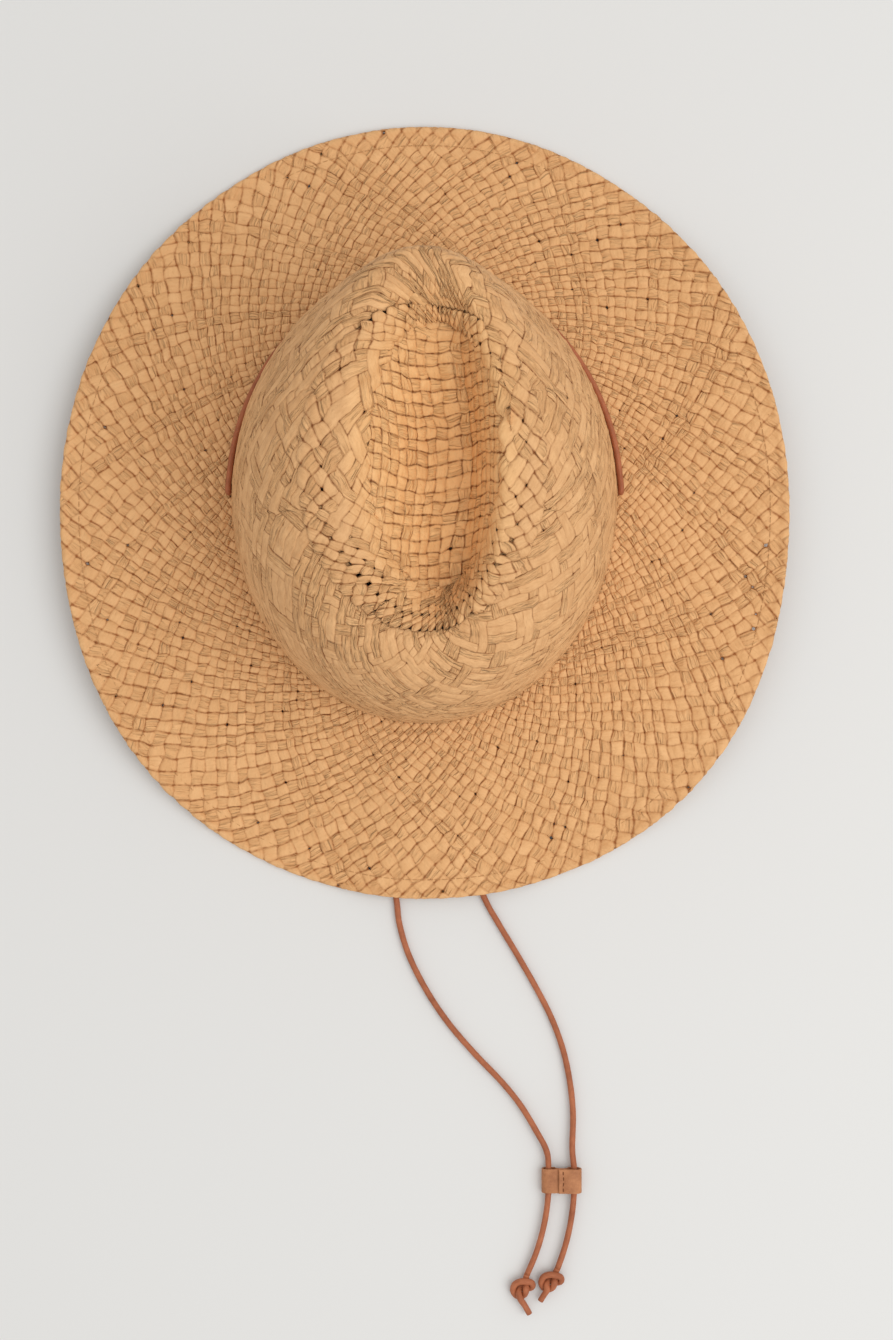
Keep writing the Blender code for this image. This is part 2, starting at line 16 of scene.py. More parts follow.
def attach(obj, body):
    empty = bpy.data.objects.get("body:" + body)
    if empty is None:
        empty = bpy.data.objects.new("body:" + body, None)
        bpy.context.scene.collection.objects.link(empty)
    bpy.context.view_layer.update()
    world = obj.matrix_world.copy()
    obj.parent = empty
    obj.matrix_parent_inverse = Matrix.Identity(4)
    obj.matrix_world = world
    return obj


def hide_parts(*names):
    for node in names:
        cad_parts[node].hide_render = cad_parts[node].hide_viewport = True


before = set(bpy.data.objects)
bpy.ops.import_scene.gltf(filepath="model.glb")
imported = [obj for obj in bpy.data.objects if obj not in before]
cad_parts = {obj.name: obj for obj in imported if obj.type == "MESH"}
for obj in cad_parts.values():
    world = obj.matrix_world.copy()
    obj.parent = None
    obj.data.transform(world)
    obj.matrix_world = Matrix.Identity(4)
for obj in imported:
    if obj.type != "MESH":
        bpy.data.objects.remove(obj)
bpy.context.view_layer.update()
bpy.ops.object.select_all(action="DESELECT")

# %% [markdown]
# ## Camera
# The photograph was taken from straight above.  One pixel is 0.47 mm on the table, and the crown leans
# outwards as it would from 0.95 m up, so the lens is the one that shows the whole frame from there.
# A camera has its sensor width along the picture's longer side, which here is the height.

# %% Camera over the table
PHOTO_PIXELS_HIGH = 1340
PIXEL = 0.00047
CAMERA_PLACE = (0.0101, -0.0740, 0.950)

camera_data = bpy.data.cameras.new("camera")
camera_data.sensor_width = 36
camera_data.lens = camera_data.sensor_width * CAMERA_PLACE[2] / (PHOTO_PIXELS_HIGH * PIXEL)
camera = bpy.data.objects.new("camera", camera_data)
camera.location = CAMERA_PLACE
bpy.context.scene.collection.objects.link(camera)
bpy.context.scene.camera = camera
print(f"lens {camera_data.lens:.1f} mm at {CAMERA_PLACE[2]} m")

# %% [markdown]
# ## Helpers for meshes
# A weave is hundreds of ribbons that follow a rule.  They could be extruded one by one, but that would take
# thousands of operators, so their points are worked out as arrays and turned into a mesh in one step.  Each
# ring of points is joined to the next by quads, and the ends are closed.  Two attributes go with the points:
# `strand` holds the distance along and across the piece and a number of its own, for patterns that follow
# the surface, and `lift` says how far the point stands out of the weave.

# %% Helpers for arrays
def three(first, second, third):
    """Three arrays or numbers, stacked into an array of points."""
    return np.stack(np.broadcast_arrays(first, second, third), axis=-1)


def unit(vectors):
    """The same directions with length 1."""
    return vectors / np.linalg.norm(vectors, axis=-1, keepdims=True)


def reaches(lines):
    """Distances along lines whose points follow each other on the last axis but one."""
    steps = np.linalg.norm(np.diff(lines, axis=-2), axis=-1)
    return np.concatenate([np.zeros((*steps.shape[:-1], 1)), np.cumsum(steps, axis=-1)], axis=-1)


def as_array(points):
    return np.array([tuple(point) for point in points], float)


# %% Mesh builder
HAT = "hat"
SLIDER = "slider"


class Builder:
    """Collects rings of points and makes one mesh of them."""

    def __init__(self):
        self.points, self.strand, self.lift, self.faces, self.count = [], [], [], [], 0

    def rings(self, points, strand, lift, cyclic=False):
        """points and strand are (rings, around, 3) arrays; lift is (rings, around) or one number."""
        rows, around = points.shape[:2]
        index = self.count + np.arange(rows * around).reshape(rows, around)
        after = np.roll(index, -1, axis=1)
        quads = np.stack([index, after, np.roll(after, -1, axis=0), np.roll(index, -1, axis=0)], axis=-1)
        self.faces += quads[:rows if cyclic else rows - 1].reshape(-1, 4).tolist()
        if not cyclic:
            self.faces += [index[0][::-1].tolist(), index[-1].tolist()]
        self.points.append(points.reshape(-1, 3))
        self.strand.append(strand.reshape(-1, 3))
        self.lift.append(np.broadcast_to(lift, (rows, around)).reshape(-1))
        self.count += rows * around

    def make(self, name, material, body=HAT):
        """The finished mesh object, riding on its body."""
        mesh = bpy.data.meshes.new(name)
        mesh.from_pydata(np.concatenate(self.points).tolist(), [], self.faces)
        for title, kind, field, values in (("strand", "FLOAT_VECTOR", "vector", self.strand),
                                           ("lift", "FLOAT", "value", self.lift)):
            attribute = mesh.attributes.new(title, kind, "POINT")
            attribute.data.foreach_set(field, np.concatenate(values).astype(np.float32).ravel())
        mesh.polygons.foreach_set("use_smooth", [True] * len(mesh.polygons))
        mesh.update()
        piece = bpy.data.objects.new(name, mesh)
        bpy.context.scene.collection.objects.link(piece)
        mesh.materials.append(material)
        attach(piece, body)
        triangles = sum(len(polygon.vertices) - 2 for polygon in mesh.polygons)
        print(f"{name}: {triangles} triangles")
        return piece


# %% Tube along a line
def tube(builder, line, radius, sides, number, start=0.0):
    """Adds a round tube; radius is one number or one for each point."""
    line = as_array(line)
    along = unit(np.gradient(line, axis=0))
    side = np.cross(along[0], (0.0, 0.0, 1.0))
    if np.linalg.norm(side) < 0.1:
        side = np.cross(along[0], (0.0, 1.0, 0.0))
    frames = []
    for direction in along:
        side = unit(side - direction * side.dot(direction))
        frames.append((side, np.cross(direction, side)))
    frames = np.array(frames)
    turn = np.arange(sides) * 2 * pi / sides
    around = frames[:, :1] * np.cos(turn)[:, None] + frames[:, 1:] * np.sin(turn)[:, None]
    radius = np.broadcast_to(radius, len(line))
    strand = three(start + reaches(line)[:, None], np.cos(turn), number)
    builder.rings(line[:, None] + around * radius[:, None, None], strand, 1.0)


# %% [markdown]
# ## Shader helper
# Materials are node trees.  Writing `0.5 + streaks * 0.3` is easier to read than wiring Math nodes by
# hand, so a small class wraps a socket and turns each operator into a Math node.

# %% Shader sockets as numbers
def operator(operation, reflected=False):
    """A method that adds a Math node for an operator; reflected is for a number on its left."""
    def apply(self, other):
        return self.math(operation, *((other, self) if reflected else (self, other)))
    return apply


class Wire:
    """An output socket; an expression on it adds Math nodes."""

    __add__, __radd__ = operator("ADD"), operator("ADD", True)
    __sub__, __rsub__ = operator("SUBTRACT"), operator("SUBTRACT", True)
    __mul__, __rmul__ = operator("MULTIPLY"), operator("MULTIPLY", True)

    def __init__(self, finish, socket):
        self.finish, self.socket = finish, socket

    def math(self, operation, first, second=0.0):
        return self.finish.add("ShaderNodeMath", {"operation": operation}, {0: first, 1: second})

    def size(self):
        """The value without its sign."""
        return self.math("ABSOLUTE", self)

    def over(self, low, high):
        """0 at low, 1 at high, held between."""
        values = {0: self, 1: low, 2: high, 3: 0.0, 4: 1.0}
        return self.finish.add("ShaderNodeMapRange", {"clamp": True}, values)


# %% A material with its node tree
def linear(value):
    """A colour value as seen on a screen, 0 to 255, as the number that a shader takes."""
    value /= 255
    return value / 12.92 if value < 0.04 else ((value + 0.055) / 1.055) ** 2.4


class Finish:
    """A material round one Principled shader; its colours are given as seen on a screen, 0 to 255."""

    def __init__(self, name, roughness=0.6, **plain):
        self.material = bpy.data.materials.new(name)
        self.material.use_nodes = True
        self.tree = self.material.node_tree
        self.shader = self.tree.nodes["Principled BSDF"]
        self.shader.inputs["Roughness"].default_value = roughness
        for title, value in plain.items():
            self.shader.inputs[title.replace("_", " ")].default_value = value

    def put(self, socket, value):
        """Links a wire to a socket, or sets it to a number, or to a colour where the value is a tuple."""
        if isinstance(value, Wire):
            self.tree.links.new(value.socket, socket)
        elif isinstance(value, tuple):
            socket.default_value = (*(linear(part) for part in value), 1.0)
        else:
            socket.default_value = value

    def add(self, kind, settings=None, values=None, output=0):
        """A node of that kind, with its settings made before its inputs."""
        node = self.tree.nodes.new(kind)
        for title, value in (settings or {}).items():
            setattr(node, title, value)
        for title, value in (values or {}).items():
            self.put(node.inputs[title], value)
        return Wire(self, node.outputs[output])

    def feed(self, title, value):
        """Links or sets an input of the shader."""
        self.put(self.shader.inputs[title], value)

    def attribute(self, name, output):
        """A value that the mesh holds for each point."""
        return self.add("ShaderNodeAttribute", {"attribute_name": name}, output=output)

    def axes(self, vector):
        """The three parts of a vector."""
        node = self.add("ShaderNodeSeparateXYZ", values={0: vector})
        return [Wire(self, output) for output in node.socket.node.outputs]

    def strand(self):
        """The distances along and across a piece, and its own number."""
        return self.axes(self.attribute("strand", 1))

    def place(self):
        """The point's place on the object."""
        return self.add("ShaderNodeTexCoord", output=3)

    def noise(self, vector, scale, detail=2.0, rough=0.5):
        values = {"Vector": vector, "Scale": scale, "Detail": detail, "Roughness": rough}
        return self.add("ShaderNodeTexNoise", values=values)

    def streaks(self, x, y, z, detail=1.0, rough=0.5):
        """Noise over axes of its own, so that it can be stretched along a piece."""
        return self.noise(self.add("ShaderNodeCombineXYZ", values={0: x, 1: y, 2: z}), 1.0, detail, rough)

    def mix(self, factor, first, second):
        """Mixes two colours."""
        values = {0: factor, 6: first, 7: second}
        return self.add("ShaderNodeMix", {"data_type": "RGBA"}, values, output=2)

    def bump(self, height, distance):
        """Fine relief; distance is how far out a height of 1 stands."""
        values = {"Height": height, "Distance": distance, "Strength": 1.0}
        self.feed("Normal", self.add("ShaderNodeBump", values=values))


# %% [markdown]
# ## Leather for the cord
# The cord is round saddle leather: warm brown, a fine grain, slightly paler and darker in soft patches,
# and darker in its pores.  The grain is stretched along the cord, so it reads the `strand` attribute.

# %% Leather finish
def leather(name, light, dark, grain=1.0):
    """Leather; a smaller grain value makes the pores larger."""
    finish = Finish(name, roughness=0.55, Specular_IOR_Level=0.35)
    along, across, number = finish.strand()
    place = finish.place()
    pores = finish.noise(place, 2600 * grain, 3.0, 0.6)
    grain_lines = finish.streaks(along * 500, across * 3, number * 31, 3.0, 0.6)
    blotches = finish.noise(place, 130, 2.0)
    shade = (blotches * 0.7 + grain_lines * 0.5 + pores * 0.3).over(0.45, 1.05)
    finish.feed("Base Color", finish.mix(shade, dark, light))
    finish.feed("Roughness", 0.48 + pores * 0.2)
    finish.bump(pores * 0.9 + grain_lines, 0.00016)
    return finish.material


CORD_LEATHER = leather("cord_leather", (192, 116, 78), (138, 74, 44))
KEEPER_LEATHER = leather("keeper_leather", (198, 136, 92), (146, 90, 56), 0.6)


# %% [markdown]
# ## Thread
# Sewing thread is two fine yarns turned round each other.  At this size only the slanting light and dark
# lines are seen, so the material paints them across each stitch as painted shade between the yarns and
# painted light on them, with the distances that it stores.

# %% Thread finish
def thread(name, light, dark):
    finish = Finish(name, roughness=0.7, Specular_IOR_Level=0.2)
    along, across, number = finish.strand()
    twist = finish.streaks(along * 2600 + across * 1.5, across * 2, number * 31, 2.0)
    # The twist's light and dark lines are painted light and shade.
    finish.feed("Base Color", finish.mix(twist.over(0.35, 0.65), dark, light))
    finish.bump(twist, 0.00008)
    return finish.material


BROWN_THREAD = thread("brown_thread", (132, 82, 50), (92, 52, 30))
STRAW_THREAD = thread("straw_thread", (214, 168, 116), (176, 126, 78))

# %% [markdown]
# ## The chin cord
# The cord has its real length, about 1.2 m, and all of it but the stretch under the brim can be seen in
# the photograph.  It is limp, so it lies flat on the table in loose curves.  The route points are those of
# the CAD model; a Catmull-Rom curve runs through them, and both strands end in arcs round one upright line,
# so that the keeper can slide along them by turning about it.

# %% Routes of the cord, as in the part's source
CORD_RADIUS, CORD_SIDES, CORD_SPACING = 0.0014, 14, 0.0016
CORD_LIFT = 0.00295
ARC_CENTRE = Vector((-0.0433, -0.3130, 0.0))
ARC_LEFT, ARC_RIGHT = 0.1013, 0.1133
ARC_TOP = radians(7.5)
ARC_END_LEFT, ARC_END_RIGHT = radians(-25.8), radians(-21.4)
LEFT_ROUTE = [
    (-0.0925, -0.008, 0.0022), (-0.0945, -0.036, 0.0015), (-0.0850, -0.079, 0.0015),
    (-0.0580, -0.115, 0.0015), (-0.0310, -0.140, 0.0015), (-0.0175, -0.160, 0.0015),
    (-0.0135, -0.181, 0.0015), (-0.0120, -0.193, 0.0015), (-0.0075, -0.208, 0.0015),
    (0.0008, -0.2245, 0.0015), (0.0111, -0.2398, 0.0015), (0.0235, -0.2542, 0.0016),
    (0.0360, -0.2672, 0.0019), (0.0449, -0.2782, 0.0023), (0.0523, -0.2903, 0.0027),
]
RIGHT_ROUTE = [
    (0.0925, -0.008, 0.0022), (0.0955, -0.038, 0.0015), (0.0880, -0.078, 0.0015),
    (0.0660, -0.110, 0.0015), (0.0410, -0.128, 0.0015), (0.0245, -0.145, 0.0015),
    (0.0213, -0.163, 0.0015), (0.0279, -0.181, 0.0015), (0.0345, -0.193, 0.0015),
    (0.0428, -0.2068, 0.0015), (0.0517, -0.2223, 0.0015), (0.0593, -0.2372, 0.0015),
    (0.0648, -0.2523, 0.0017), (0.0680, -0.2675, 0.0021), (0.0694, -0.2820, 0.0026),
]
KNOT_UNIT = 0.0024
KNOT_CORD_RADIUS, KNOT_TAIL_RADIUS, KNOT_TAIL_TIP = 0.00150, 0.0014, 0.92
KNOT_SPACING, KNOT_CLEARANCE = 0.0005, 0.00004
KNOT_START_POINTS, KNOT_TAIL_POINTS = 4, 12
KNOT_ROUTE = [
    (0.72, 2.38, 0.0), (0.58, 1.92, -0.14), (0.50, 1.10, -0.60), (0.52, 0.25, 0.02), (0.50, -0.50, 0.55),
    (0.34, -1.40, 0.12), (-0.40, -2.12, -0.56), (-1.42, -1.86, -0.52), (-1.98, -0.80, -0.20),
    (-1.66, 0.42, 0.28), (-0.66, 1.06, 0.56), (0.50, 1.12, 0.60), (1.52, 0.86, 0.34),
    (1.80, 0.06, -0.14), (1.30, -0.46, -0.56), (0.42, -0.52, -0.66), (-0.50, -0.44, -0.56),
    (-0.88, -1.02, 0.12), (-0.72, -1.92, 0.62),
]
LEFT_KNOT_TAIL = [(-0.30, -2.80, 0.24), (0.25, -3.60, 0.0), (0.85, -4.60, 0.0), (1.30, -5.40, 0.0)]
RIGHT_KNOT_TAIL = [(-0.95, -2.80, 0.24), (-1.25, -3.60, 0.0), (-1.60, -4.50, 0.0)]
LEFT_KNOT_TURN, RIGHT_KNOT_TURN = radians(25), radians(12)


# %% Smooth curves through points
def through(points, steps=12):
    """A dense smooth curve through the points (Catmull-Rom)."""
    points = [Vector(point) for point in points]
    ends = [2 * points[0] - points[1]] + points + [2 * points[-1] - points[-2]]
    curve = []
    for p0, p1, p2, p3 in zip(ends, ends[1:], ends[2:], ends[3:]):
        for k in range(steps):
            t = k / steps
            curve.append(0.5 * (2 * p1 + (p2 - p0) * t + (2 * p0 - 5 * p1 + 4 * p2 - p3) * t ** 2
                                + (3 * p1 - p0 - 3 * p2 + p3) * t ** 3))
    curve.append(points[-1])
    return curve


def places_along(values, reach, at):
    """Rows of values, known at the distances in reach, at other distances."""
    return np.stack([np.interp(at, reach, column) for column in values.T], axis=1)


def even(curve, spacing):
    """The same curve with points at about this spacing."""
    line = as_array(curve)
    reach = reaches(line)
    at = np.linspace(0, reach[-1], max(3, round(reach[-1] / spacing) + 1))
    return [Vector(point) for point in places_along(line, reach, at)]


def length_of(curve):
    return float(reaches(as_array(curve))[-1])


# %% [markdown]
# ## Where the cord goes in
# The cord passes through a small hole in the brim on each side, right beside the foot of the crown.  The
# foot is an oval, so a point on it and its outward normal say where each hole is.  Working them out, and
# not typing them in, keeps the cord at its hole when the hat changes its size.

# %% The foot of the crown
GAP = 0.0003
CROWN_HALF_WIDTH, CROWN_HALF_LENGTH, CROWN_CENTRE_Y = 0.0885, 0.1025, 0.004
FOOT_HEIGHT = 0.016
BRIM_THICKNESS = 0.0009
HOLE_OUTSET, HOLE_Y = 0.0022, 0.008
UNDER_BRIM = (0.0004, -0.0040, -0.0050)


def foot_normal(u):
    """The outward normal of the crown's foot oval at each angle, level."""
    return unit(three(np.cos(u) / CROWN_HALF_WIDTH, np.sin(u) / CROWN_HALF_LENGTH, 0.0))


def foot_point(u, outset=0.0):
    """Points of that oval, or of a line outside it."""
    foot = three(CROWN_HALF_WIDTH * np.cos(u), CROWN_CENTRE_Y + CROWN_HALF_LENGTH * np.sin(u), 0.0)
    return foot + foot_normal(u) * outset


# %% Strands, from the hole in the brim to the knot
def cord_hole(side):
    angle = asin((HOLE_Y - CROWN_CENTRE_Y) / CROWN_HALF_LENGTH)
    point = Vector(foot_point(np.array(angle), HOLE_OUTSET))
    point.x *= side
    return point


def strand_line(side, route, radius, end):
    """From the hole down under the brim, along the route, and on an arc as far as the knot."""
    hole = cord_hole(side)
    top = Vector((hole.x, hole.y, FOOT_HEIGHT - BRIM_THICKNESS - 5 * GAP))
    below = top - Vector((0, 0, 2 * CORD_RADIUS))
    outwards, back, down = UNDER_BRIM
    drop = [below, below + Vector((outwards * side, back, down))]
    arc = []
    for k in range(7):
        angle = ARC_TOP + (end - ARC_TOP) * k / 6
        point = ARC_CENTRE + Vector((cos(angle), sin(angle), 0)) * radius
        arc.append(Vector((point.x, point.y, CORD_LIFT)))
    return even([top] + through(drop + route + arc), CORD_SPACING)


def make_strand(name, side, route, radius, end):
    """A strand with a slightly worn, uneven thickness, and the line that it follows."""
    line = strand_line(side, route, radius, end)
    builder, place = Builder(), np.arange(len(line))
    wear = 1 + 0.015 * np.sin(place * 0.9 + side) + 0.01 * np.sin(place * 2.3)
    tube(builder, line, CORD_RADIUS * wear, CORD_SIDES, 0.5 + 0.3 * side)
    return builder.make(name, CORD_LEATHER), line


left_strand, left_line = make_strand("leather_strand_left", -1, LEFT_ROUTE, ARC_LEFT, ARC_END_LEFT)
right_strand, right_line = make_strand("leather_strand_right", 1, RIGHT_ROUTE, ARC_RIGHT, ARC_END_RIGHT)
for strand_name, strand_path in (("left", left_line), ("right", right_line)):
    print(f"{strand_name} strand: {length_of(strand_path) * 1000:.0f} mm")


# %% [markdown]
# ## The knots
# An overhand knot is a loop with the end put through it.  It could be sculpted as a lump, but a cord that
# really goes over and under itself looks right from every side, so one tube follows a route given point by
# point.  The turns press into each other a little, as leather does.

# %% Overhand knots
def make_knot(name, radius, end, tail, turn, number):
    """The knot's route, scaled and turned to start where its strand's arc ends, and kept off the table."""
    along = Vector((sin(end), -cos(end), 0))
    place = ARC_CENTRE + Vector((cos(end), sin(end), 0)) * radius
    place.z = CORD_LIFT
    heading = atan2(along.y, along.x) + pi / 2 + turn
    set_down = Matrix.Translation(place) @ Matrix.Rotation(heading, 4, "Z") @ Matrix.Scale(KNOT_UNIT, 4)
    start = Vector(KNOT_ROUTE[0])
    line = even([set_down @ (point - start) for point in through(KNOT_ROUTE + tail, 16)], KNOT_SPACING)
    for point in line:
        point.z = max(point.z, KNOT_CORD_RADIUS + KNOT_CLEARANCE)
    thick = np.full(len(line), KNOT_CORD_RADIUS)
    thick[:KNOT_START_POINTS] = CORD_RADIUS
    thick[-KNOT_TAIL_POINTS:-1] = KNOT_TAIL_RADIUS
    thick[-1] = KNOT_TAIL_TIP * KNOT_TAIL_RADIUS
    builder = Builder()
    tube(builder, line, thick, CORD_SIDES, number)
    return builder.make(name, CORD_LEATHER)


left_knot = make_knot("leather_knot_left", ARC_LEFT, ARC_END_LEFT, LEFT_KNOT_TAIL, LEFT_KNOT_TURN, 0.3)
right_knot = make_knot("leather_knot_right", ARC_RIGHT, ARC_END_RIGHT, RIGHT_KNOT_TAIL, RIGHT_KNOT_TURN, 0.7)

# %% Hide the CAD model's cords and knots
for piece, line, knot, node, knot_node in (
        (left_strand, left_line, left_knot, "chin_cord_left", "left_knot"),
        (right_strand, right_line, right_knot, "chin_cord_right", "right_knot")):
    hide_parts(node)
    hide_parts(knot_node)

# %% [markdown]
# ## The keeper
# The keeper is a strip of rough leather, wrapped once round both ends of the cord.  Its free end overlaps
# on top, and one seam between the two ends sews all layers together, so the strip is drawn up between them.
# The strip's rounded cross section is swept along the way that it is wrapped.

# %% Wrapped strip
KEEPER_WIDTH, KEEPER_LENGTH, KEEPER_SKIN, KEEPER_OVERLAP = 0.0188, 0.0113, 0.0009, 0.0109
KEEPER_TUNNEL, KEEPER_LIFT, KEEPER_ROUNDING = 0.00185, 0.0002, 0.0003
KEEPER_HEIGHT = 2 * KEEPER_SKIN + 2 * KEEPER_TUNNEL
KEEPER_SEAM = 0.0022


def keeper_bend(x, radius, turns):
    """Points of the strip's middle where it bends round a centre at x, with its skin's outer radius."""
    bend = radius - KEEPER_SKIN / 2
    return [(x + bend * cos(radians(turn)), radius + bend * sin(radians(turn))) for turn in turns]


def keeper_path():
    """The middle of the strip in its section: x from the arcs' centre line, and height."""
    middle, skin = (ARC_LEFT + ARC_RIGHT) / 2, KEEPER_SKIN / 2
    left, right = middle - KEEPER_WIDTH / 2, middle + KEEPER_WIDTH / 2
    step = right - KEEPER_OVERLAP
    low, top = skin, KEEPER_HEIGHT - skin
    path = [(ARC_RIGHT + 0.0004, top), (ARC_RIGHT - 0.002, top + 0.0001), (middle, top - 0.0004),
            (ARC_LEFT + 0.002, top - 0.0001), (ARC_LEFT, top)]
    path += keeper_bend(left + KEEPER_HEIGHT / 2, KEEPER_HEIGHT / 2, range(110, 261, 30))
    path += [(ARC_LEFT + 0.0005, low), (ARC_LEFT + 0.0025, low + 0.0006), (middle - 0.002, top - 0.0020),
             (middle + 0.002, top - 0.0020), (ARC_RIGHT - 0.0025, low + 0.0006), (ARC_RIGHT - 0.0005, low)]
    radius = (KEEPER_HEIGHT + KEEPER_SKIN) / 2
    path += keeper_bend(right - radius, radius, range(-80, 71, 30))
    path += [(ARC_RIGHT - 0.001, top + KEEPER_SKIN), (ARC_RIGHT - 0.003, top + KEEPER_SKIN),
             (step + KEEPER_SEAM, top + KEEPER_SKIN - 0.0003), (step, top + KEEPER_SKIN - 0.0001)]
    return [Vector((ARC_CENTRE.x + x, ARC_CENTRE.y, KEEPER_LIFT + z)) for x, z in path]


def make_keeper():
    """Sweeps a section with rounded corners along the strip's middle; its edges sway a little."""
    line = as_array(even(through(keeper_path(), 6), 0.0006))
    along = unit(np.gradient(line, axis=0))
    normal = three(along[:, 2], 0.0, -along[:, 0])
    section = []
    for side_y, side_n in ((-1, -1), (1, -1), (1, 1), (-1, 1)):
        for k in range(4):
            turn = atan2(side_n, side_y) + radians(-45 + 30 * k)
            section.append((side_y * (KEEPER_LENGTH / 2 - KEEPER_ROUNDING) + KEEPER_ROUNDING * cos(turn),
                            side_n * (KEEPER_SKIN / 2 - KEEPER_ROUNDING) + KEEPER_ROUNDING * sin(turn)))
    section = np.array(section)
    reach = reaches(line)[:, None]
    sway = 0.00096 * np.sin(reach * 900) + 0.00072 * np.sin(reach * 2300 + 1)
    points = line[:, None] + normal[:, None] * section[:, 1:]
    points[..., 1] += section[:, 0] * (1 + sway)
    builder = Builder()
    builder.rings(points, three(reach, section[:, 0] * 180, 0.4), 1.0)
    return builder.make("leather_keeper", KEEPER_LEATHER, SLIDER)


keeper = make_keeper()
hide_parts("cord_slider")


# %% [markdown]
# ## Stitches
# Running stitches are short threads that come up, lie on the surface and go down again.  A bump pattern
# would vanish in a side view, so each stitch is a short tube whose ends dive in.

# %% Stitches, and the keeper's seam
STITCH_PLACES = np.array([0.0, 0.15, 0.5, 0.85, 1.0])
STITCH_HEIGHTS = np.array([-1.2, 0.0, 0.5, 0.0, -1.2])[:, None]
STITCH_THICKNESS = np.array([0.6, 1, 1, 1, 0.6])


def stitch_row(builder, line, normals, pitch, share, radius, sides=6):
    """Running stitches along a line: each is a short thread that dives in at both ends."""
    reach = reaches(line)
    count = int(reach[-1] / pitch)
    for k in range(count):
        at = (k + (1 - share) / 2 + share * STITCH_PLACES) * reach[-1] / count
        path = places_along(line, reach, at) + places_along(normals, reach, at) * STITCH_HEIGHTS * radius
        tube(builder, path, radius * STITCH_THICKNESS, sides, (k * 0.37) % 1, at[0])


seam_x = ARC_CENTRE.x + (ARC_LEFT + ARC_RIGHT + KEEPER_WIDTH) / 2 - KEEPER_OVERLAP + KEEPER_SEAM
seam_y = ARC_CENTRE.y + np.linspace(-0.46, 0.46, 12) * KEEPER_LENGTH
seam_z = KEEPER_LIFT + KEEPER_HEIGHT + KEEPER_SKIN - 0.0003
seam = three(seam_x + 0.0001 * np.sin(seam_y * 900), seam_y, seam_z)
builder = Builder()
stitch_row(builder, seam, np.tile((0.0, 0.0, 1.0), (12, 1)), 0.0021, 0.7, 0.00024)
builder.make("keeper_stitches", BROWN_THREAD, SLIDER)

# %% [markdown]
# ## The surface of the hat
# The weave needs a surface to lie on.  The same few curves as in the CAD model give it: an oval foot, an
# egg-shaped ridge, a wall between them, a dent inside, and the brim's section out to the folded hem.
# They are worked out for whole arrays at once: `u` is the direction round the hat.

# %% Crown surface
RIDGE_HALF_WIDTH, RIDGE_FRONT, RIDGE_REAR = 0.0355, 0.0985, 0.061
RIDGE_HEIGHT_FRONT, RIDGE_HEIGHT_REAR = 0.121, 0.106
WALL_POWER, WALL_LEAN = 2.3, 0.10
PINCH_DEPTH, PINCH_ANGLE, PINCH_SPREAD, PINCH_HEIGHT, PINCH_REACH = 0.0035, radians(45), 0.34, 0.74, 0.2
DENT_X, DENT_Y, DENT_SLANT = 0.0145, 0.010, -0.03
DENT_HALF_WIDTH, DENT_HALF_LENGTH = 0.004, 0.043
DENT_FLOOR, DENT_FRONT_RISE, DENT_REAR_RISE = 0.078, 0.017, 0.004


def ridge_point(u):
    """The egg-shaped ridge, higher in front."""
    reach = np.where(np.sin(u) > 0, RIDGE_FRONT, RIDGE_REAR)
    height = RIDGE_HEIGHT_REAR + (RIDGE_HEIGHT_FRONT - RIDGE_HEIGHT_REAR) * (0.5 + 0.5 * np.sin(u))
    return three(RIDGE_HALF_WIDTH * np.cos(u), reach * np.sin(u), height)


def wall_point(u, share):
    """The crown's wall; share is 0 at the foot and 1 on the ridge."""
    u, share = np.broadcast_arrays(u, share)
    lift = share ** (WALL_POWER / 2)
    turn = 1 - np.sqrt(np.maximum(0.0, 1 - lift * lift)) ** (2 / WALL_POWER)
    inset = WALL_LEAN * share + (1 - WALL_LEAN) * turn
    pinch = sum(np.exp(-((u - centre) / PINCH_SPREAD) ** 2) for centre in (PINCH_ANGLE, pi - PINCH_ANGLE))
    pinch = pinch * PINCH_DEPTH * np.exp(-((share - PINCH_HEIGHT) / PINCH_REACH) ** 2)
    foot, ridge = foot_point(u), ridge_point(u)
    point = foot + (ridge - foot) * inset[..., None] - foot_normal(u) * pinch[..., None]
    point[..., 2] = FOOT_HEIGHT + (ridge[..., 2] - FOOT_HEIGHT) * share
    return point


def dent_point(u, share):
    """The dent; share is 0 on the ridge and 1 on the floor's edge."""
    ridge = ridge_point(u)
    along = np.sin(u) * DENT_HALF_LENGTH
    rise = np.where(along > 0, DENT_FRONT_RISE, DENT_REAR_RISE) * np.sin(u) ** 2
    sideways = DENT_HALF_WIDTH * np.cos(u) + DENT_SLANT * along
    floor = three(DENT_X + sideways, DENT_Y + along, DENT_FLOOR + rise)
    point = ridge + (floor - ridge) * share[..., None]
    point[..., 2] = floor[..., 2] + (ridge[..., 2] - floor[..., 2]) * (0.5 + 0.5 * np.cos(pi * share))
    return point


def crown_point(u, share):
    """The crown: share is 0 at the foot, 1 on the ridge and 2 on the dent's floor."""
    u, share = np.broadcast_arrays(u, share)
    wall = wall_point(u, np.clip(share, 0, 1))
    dent = dent_point(u, np.clip(share - 1, 0, 1))
    return np.where((share <= 1)[..., None], wall, dent)


print(f"ridge: {1000 * RIDGE_HEIGHT_REAR:.0f} mm high behind, {1000 * RIDGE_HEIGHT_FRONT:.0f} mm in front")

